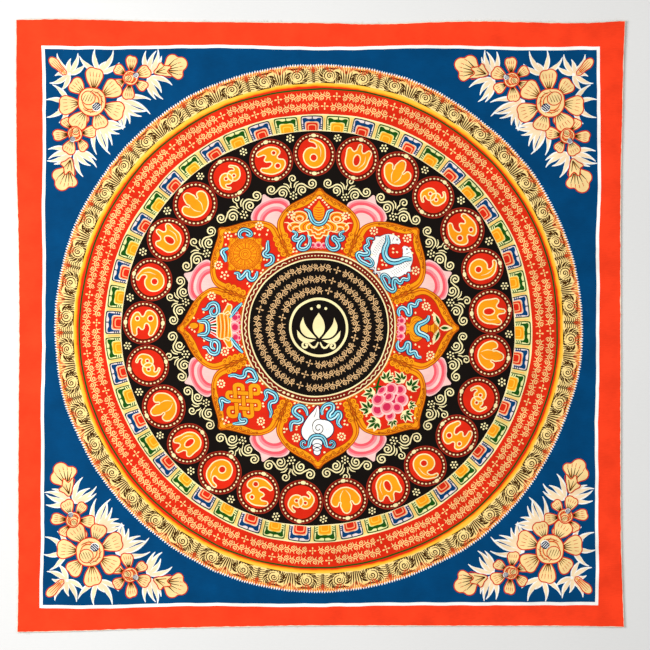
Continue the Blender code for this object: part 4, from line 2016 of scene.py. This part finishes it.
def ball(x, y, reach, turn):
    """The wrapped inner petals of a flower: crescents about a round bud, with short strokes."""
    shape = [(0, 1), (0.72, 0.76), (1.02, 0.04), (0.74, -0.78), (-0.08, -1.1), (-0.82, -0.66)]
    shape = [(x * reach, y * reach) for x, y in shape + [(-0.98, 0.08), (-0.7, 0.8)]]
    bud = (-0.26 * reach, 0.26 * reach)
    lines = [border(shape, 0.36, 4), border(circle(*bud, 0.5 * reach, 8), 0.32)]
    shades, veins = [], []
    for step, share in enumerate((0.62, 0.8)):
        arc = []
        for index in range(6):
            angle = math.radians(86 - 52 * index * (1 - 0.14 * step))
            at = share * reach
            arc.append((bud[0] * (1 - share) + at * math.cos(angle), at * math.sin(angle)))
        lines.append(line(arc, 0.33, 4, (0.4, 0.6)))
        shades.append(line([(0.93 * x, 0.93 * y) for x, y in arc], 0.7, 4, (0.2, 0.3)))
    for index in range(8):
        angle = math.radians(100 - 30 * index)
        near, far = 0.66 * reach, 0.9 * reach
        shift = angle - 0.3
        ends = [rim_point(0, 0, near, angle), rim_point(0, 0, far, shift)]
        veins.append(line(ends, 0.24, 1, (1, 0.5)))
    for across in (-0.3, -0.1, 0.1, 0.3):
        low = (bud[0] + reach * (across - 0.14), bud[1] - reach * 0.26)
        high = (bud[0] + reach * (across + 0.1), bud[1] + reach * 0.24)
        veins.append(line([low, high], 0.24, 1, (0.9, 0.5)))
        shades.append(line([low, high], 0.5, 1, (0.9, 0.2)))
    return tuple(moved(marks, x, y, turn) for marks in ([shape], lines, shades, veins))


def eye(x, y, reach, turn):
    """A dark spot barred with white, and the white line that closes it."""
    bars = []
    for index in range(5):
        at = reach * (0.45 * index - 0.9)
        half = reach * (0.75 - 0.16 * abs(index - 2))
        bars.append(line([(at - 0.2, -half), (at + 0.3, half)], reach * 0.13, 1, (0.8, 0.8)))
    rim = [rim_point(0, 0, reach, angle) for angle in (-2.2, -1.4, -0.6, 0.2, 1)]
    bars.append(line(rim, reach * 0.14, 3, (0.4, 0.4)))
    return [moved([circle(0, 0, reach, 7)], x, y)[0]], moved(bars, x, y, turn)


def fan_bud(x, y, turn):
    """A bud with a pointed cup and a broad petal that opens like a fan."""
    fan = [(7, 0.4, 1), (9.2, 5.2), (12.6, 9.2), (16.6, 8.9), (18.8, 6.6), (22, 5.4)]
    fan += [(24, 1.6), (22.6, -2), (19.8, -4), (18.8, -7.2), (15.6, -8.8), (12.2, -6)]
    fan += [(9.6, -2.8)]
    cup = [(0, 0, 1), (3, 3), (6.4, 5.9, 1), (7.6, 3.6), (12.4, 1, 1), (9.2, -1.4)]
    cup += [(11.6, -5.4, 1), (5.2, -3.4)]
    leans = (-5.6, -2.9, -0.4, 2.3, 5.4)
    veins = [line([(10.2, y * 0.34), (17.8 - abs(y) * 0.3, y)], 0.5, 1, (1, 0.3)) for y in leans]
    veins += [line([(1.6, 0), (8.4, 2.9 * side)], 0.4, 1, (1, 0.4)) for side in (-1, 0.2, 1.1)]
    tips = [
        line([(end, y * 0.96), (end + 2.4, y * 1.08)], 0.3, 1, (0.8, 0.4))
        for end, y in ((18.4 - 0.35 * abs(y), y) for y in leans)
    ]
    shades = [line([(8.6, y * 0.26), (19, y)], 1, 1, (1, 0.1)) for y in (-4.4, -0.2, 4.2)]
    glow = [line([(2, 0), (9, y)], 0.8, 1, (1, 0.2)) for y in (-2.8, 2.4)]
    parts = ([fan], [border(fan, 0.34, 4)] + tips, shades, veins[:5])
    parts += ([cup], [border(cup, 0.34)], glow, veins[5:])
    return tuple(moved(marks, x, y, turn) for marks in parts)


def across_diagonal(marks):
    """The marks with their mirror images across the corner's own diagonal."""
    return [*marks, *reshaped(marks, lambda x, y: (-y, -x), lambda x, y, turn: -90 - turn, 1, True)]


class MANDALA_OT_sprays(bpy.types.Operator):
    """Paint a spray of flowers, buds and white leaves into each corner"""

    bl_idname = "mandala.sprays"
    bl_label = "Corner sprays"

    tufts = (
        # foot, tips of its blades
        ((16.2, -16.8), ((6.6, -4.4), (16.4, -6.2), (24.8, -3.8), (28.4, -12))),
        ((37.4, -16.4), ((22.6, -6.6), (32.6, -0.6), (41, -8), (49.2, -2.2), (52, -11.4))),
        ((71.4, -18.4), ((67.2, -2), (74, -1.2), (80, -1.6), (81.6, -6.8))),
        ((70.8, -20), ((88.4, -23.6), (81.6, -29.8), (79, -36.8), (74.2, -36.2))),
        ((49.6, -35), ((72.6, -32.6), (73.4, -42), (69, -45.8), (64.6, -48.8))),
        ((51.6, -38.4), ((60.2, -50.4), (56, -55), (51.4, -53.4))),
    )

    def execute(self, context):
        marks = {}

        def add(both, **more):
            for key, items in more.items():
                items = across_diagonal(items) if both else list(items)
                marks.setdefault(key, []).extend(items)

        for foot, tips in self.tufts:
            blades, strokes = tuft(foot, tips)
            add(True, blades=blades, strokes=strokes)
        def add_all(both, level, parts):
            kinds = ("petals", "lines", "shades", "veins")
            add(both, **{f"{level}_{kind}": part for kind, part in zip(kinds, parts)})

        add_all(True, "low", flower(58.8, -20.4, 6, 4.6, 14.6, 7.8, 24))
        add_all(True, "core", ball(58.8, -20.4, 4.8, 60))
        parts = fan_bud(75, -17.4, 15)
        add_all(True, "low", parts[:4])
        add_all(True, "core", parts[4:])
        bud = (14.2, -17, 136)
        shape = petal(0, 0, 15.6, 5.6, 0)
        veins = [line([(3, side), (12.6, side * 1.5)], 0.3, 1, (1, 0.4)) for side in (-1, 0, 1)]
        shades = [line([(1, 0), (10, 0)], 1, 1, (1, 0.2))]
        parts = ([shape], [border(shape, 0.34)] + veins, shades)
        add_all(False, "low", [moved(part, *bud) for part in parts])
        add_all(False, "top", flower(32, -36, 7, 9, 22, 12, 32))
        add_all(False, "core", ball(31.8, -35.8, 9.4, 0))
        for both, *place in ((True, 62.4, -18.6, 1.8, 20), (False, 35, -39.4, 2.9, -40)):
            add(both, **dict(zip(("spots", "bars"), eye(*place))))
        rows = [
            ("spray_leaves", "white", (2, marks["blades"])),
            ("spray_leaf_strokes", "bisque", (3, marks["strokes"])),
            ("spray_spots", "navy", (17, marks["spots"])),
            ("spray_bars", "white", (18, marks["bars"])),
        ]
        kinds = (("petals", "honey"), ("shades", "caramel"), ("veins", "bistre"), ("lines", "rust"))
        for rise, (kind, paint_name) in enumerate(kinds):
            levels = ((4, "low"), (8, "top"), (12, "core"))
            coats = [(coat + rise, marks[f"{level}_{kind}"]) for coat, level in levels]
            rows.append((f"spray_{kind}", paint_name, *coats))
        places = []
        inset = settings().mandala.frame_line
        for x, y in FRAME_CORNERS:
            side_x, side_y = math.copysign(1, -x), math.copysign(1, y)
            corner = Matrix.Translation((x + side_x * inset, y - side_y * inset, 0))
            places.append(corner @ Matrix.Diagonal((side_x, side_y, 1, 1)))
        paint_all(rows, places)
        return {"FINISHED"}


class MANDALA_OT_stage(bpy.types.Operator):
    """Set a pale floor, soft studio light and a camera straight above"""

    bl_idname = "mandala.stage"
    bl_label = "Stage"

    def execute(self, context):
        bpy.ops.object.select_all(action="DESELECT")
        bpy.ops.mesh.primitive_plane_add(size=6, location=(0, 0, -0.0002))
        floor = bpy.context.object
        floor.name = "floor"
        material, tree, shader = blank_material("floor_paint", 0.7)
        pigment = use_group(tree, pigment_group(), Patch=4)
        base = mix_colours(tree, pigment.outputs["Density"], (0.7, 0.7, 0.69), (0.74, 0.74, 0.73))
        tree.links.new(base, shader.inputs["Base Color"])
        floor.data.materials.append(material)
        world = bpy.data.worlds.new("studio")
        world.use_nodes = True
        world.node_tree.nodes["Background"].inputs["Color"].default_value = (1, 0.99, 0.98, 1)
        world.node_tree.nodes["Background"].inputs["Strength"].default_value = 0.42
        context.scene.world = world
        for name, place, size, power in LIGHTS:
            light = bpy.data.lights.new(name, "AREA")
            light.shape = "SQUARE"
            light.size = size
            light.energy = power
            lamp = bpy.data.objects.new(name, light)
            lamp.location = place
            lamp.rotation_euler = (-Vector(place)).to_track_quat("-Z", "Y").to_euler()
            context.scene.collection.objects.link(lamp)
        lens = bpy.data.cameras.new("camera")
        lens.sensor_width = SENSOR
        lens.lens = SENSOR * CAMERA_HEIGHT / VIEW_WIDTH
        camera = bpy.data.objects.new("camera", lens)
        camera.location = (*VIEW_CENTRE, CAMERA_HEIGHT)
        context.scene.collection.objects.link(camera)
        context.scene.camera = camera
        context.scene.view_settings.view_transform = "Standard"
        return {"FINISHED"}


# name, place, size and power of each soft light
LIGHTS = (("key_light", (-0.62, 0.1, 0.8), 0.6, 9.9), ("fill_light", (0.9, 0.2, 1.6), 1.4, 7))
SENSOR = 36
CAMERA_HEIGHT = 1.6
VIEW_WIDTH = 448.5 * MM
VIEW_CENTRE = (3.1 * MM, 0.35 * MM)


class MandalaCanvas(bpy.types.PropertyGroup):
    """All that a user may change."""

    cloth: PointerProperty(type=ClothSizes)
    mandala: PointerProperty(type=MandalaSizes)
    paints: PointerProperty(type=PaintColours)


class MANDALA_PT_sidebar(bpy.types.Panel):
    """Lists the canvas's sizes, its paints and its steps"""

    bl_label = "Mandala canvas"
    bl_idname = "MANDALA_PT_sidebar"
    bl_space_type = "VIEW_3D"
    bl_region_type = "UI"
    bl_category = "Mandala"

    def draw(self, context):
        chosen = settings()
        for group in (chosen.cloth, chosen.mandala, chosen.paints):
            box = self.layout.box()
            for key in group.bl_rna.properties.keys():
                if key not in ("rna_type", "name"):
                    box.prop(group, key)
        for step in STEPS:
            self.layout.operator(step.bl_idname)


STEPS = (
    MANDALA_OT_stage,
    MANDALA_OT_cloth,
    MANDALA_OT_margin,
    MANDALA_OT_fibres,
    MANDALA_OT_rings,
    MANDALA_OT_scrolls,
    MANDALA_OT_vines,
    MANDALA_OT_blocks,
    MANDALA_OT_medallions,
    MANDALA_OT_curls,
    MANDALA_OT_pink_petals,
    MANDALA_OT_orange_petals,
    MANDALA_OT_bead_band,
    MANDALA_OT_heart,
    MANDALA_OT_emblems,
    MANDALA_OT_sprays,
)
CLASSES = (ClothSizes, MandalaSizes, PaintColours, MandalaCanvas, *STEPS, MANDALA_PT_sidebar)


def register():
    for kind in CLASSES:
        bpy.utils.register_class(kind)
    bpy.types.Scene.mandala_canvas = PointerProperty(type=MandalaCanvas)


def unregister():
    del bpy.types.Scene.mandala_canvas
    for kind in reversed(CLASSES):
        bpy.utils.unregister_class(kind)


def main():
    register()
    for step in STEPS:
        group, call = step.bl_idname.split(".")
        getattr(getattr(bpy.ops, group), call)()


if __name__ == "__main__":
    main()
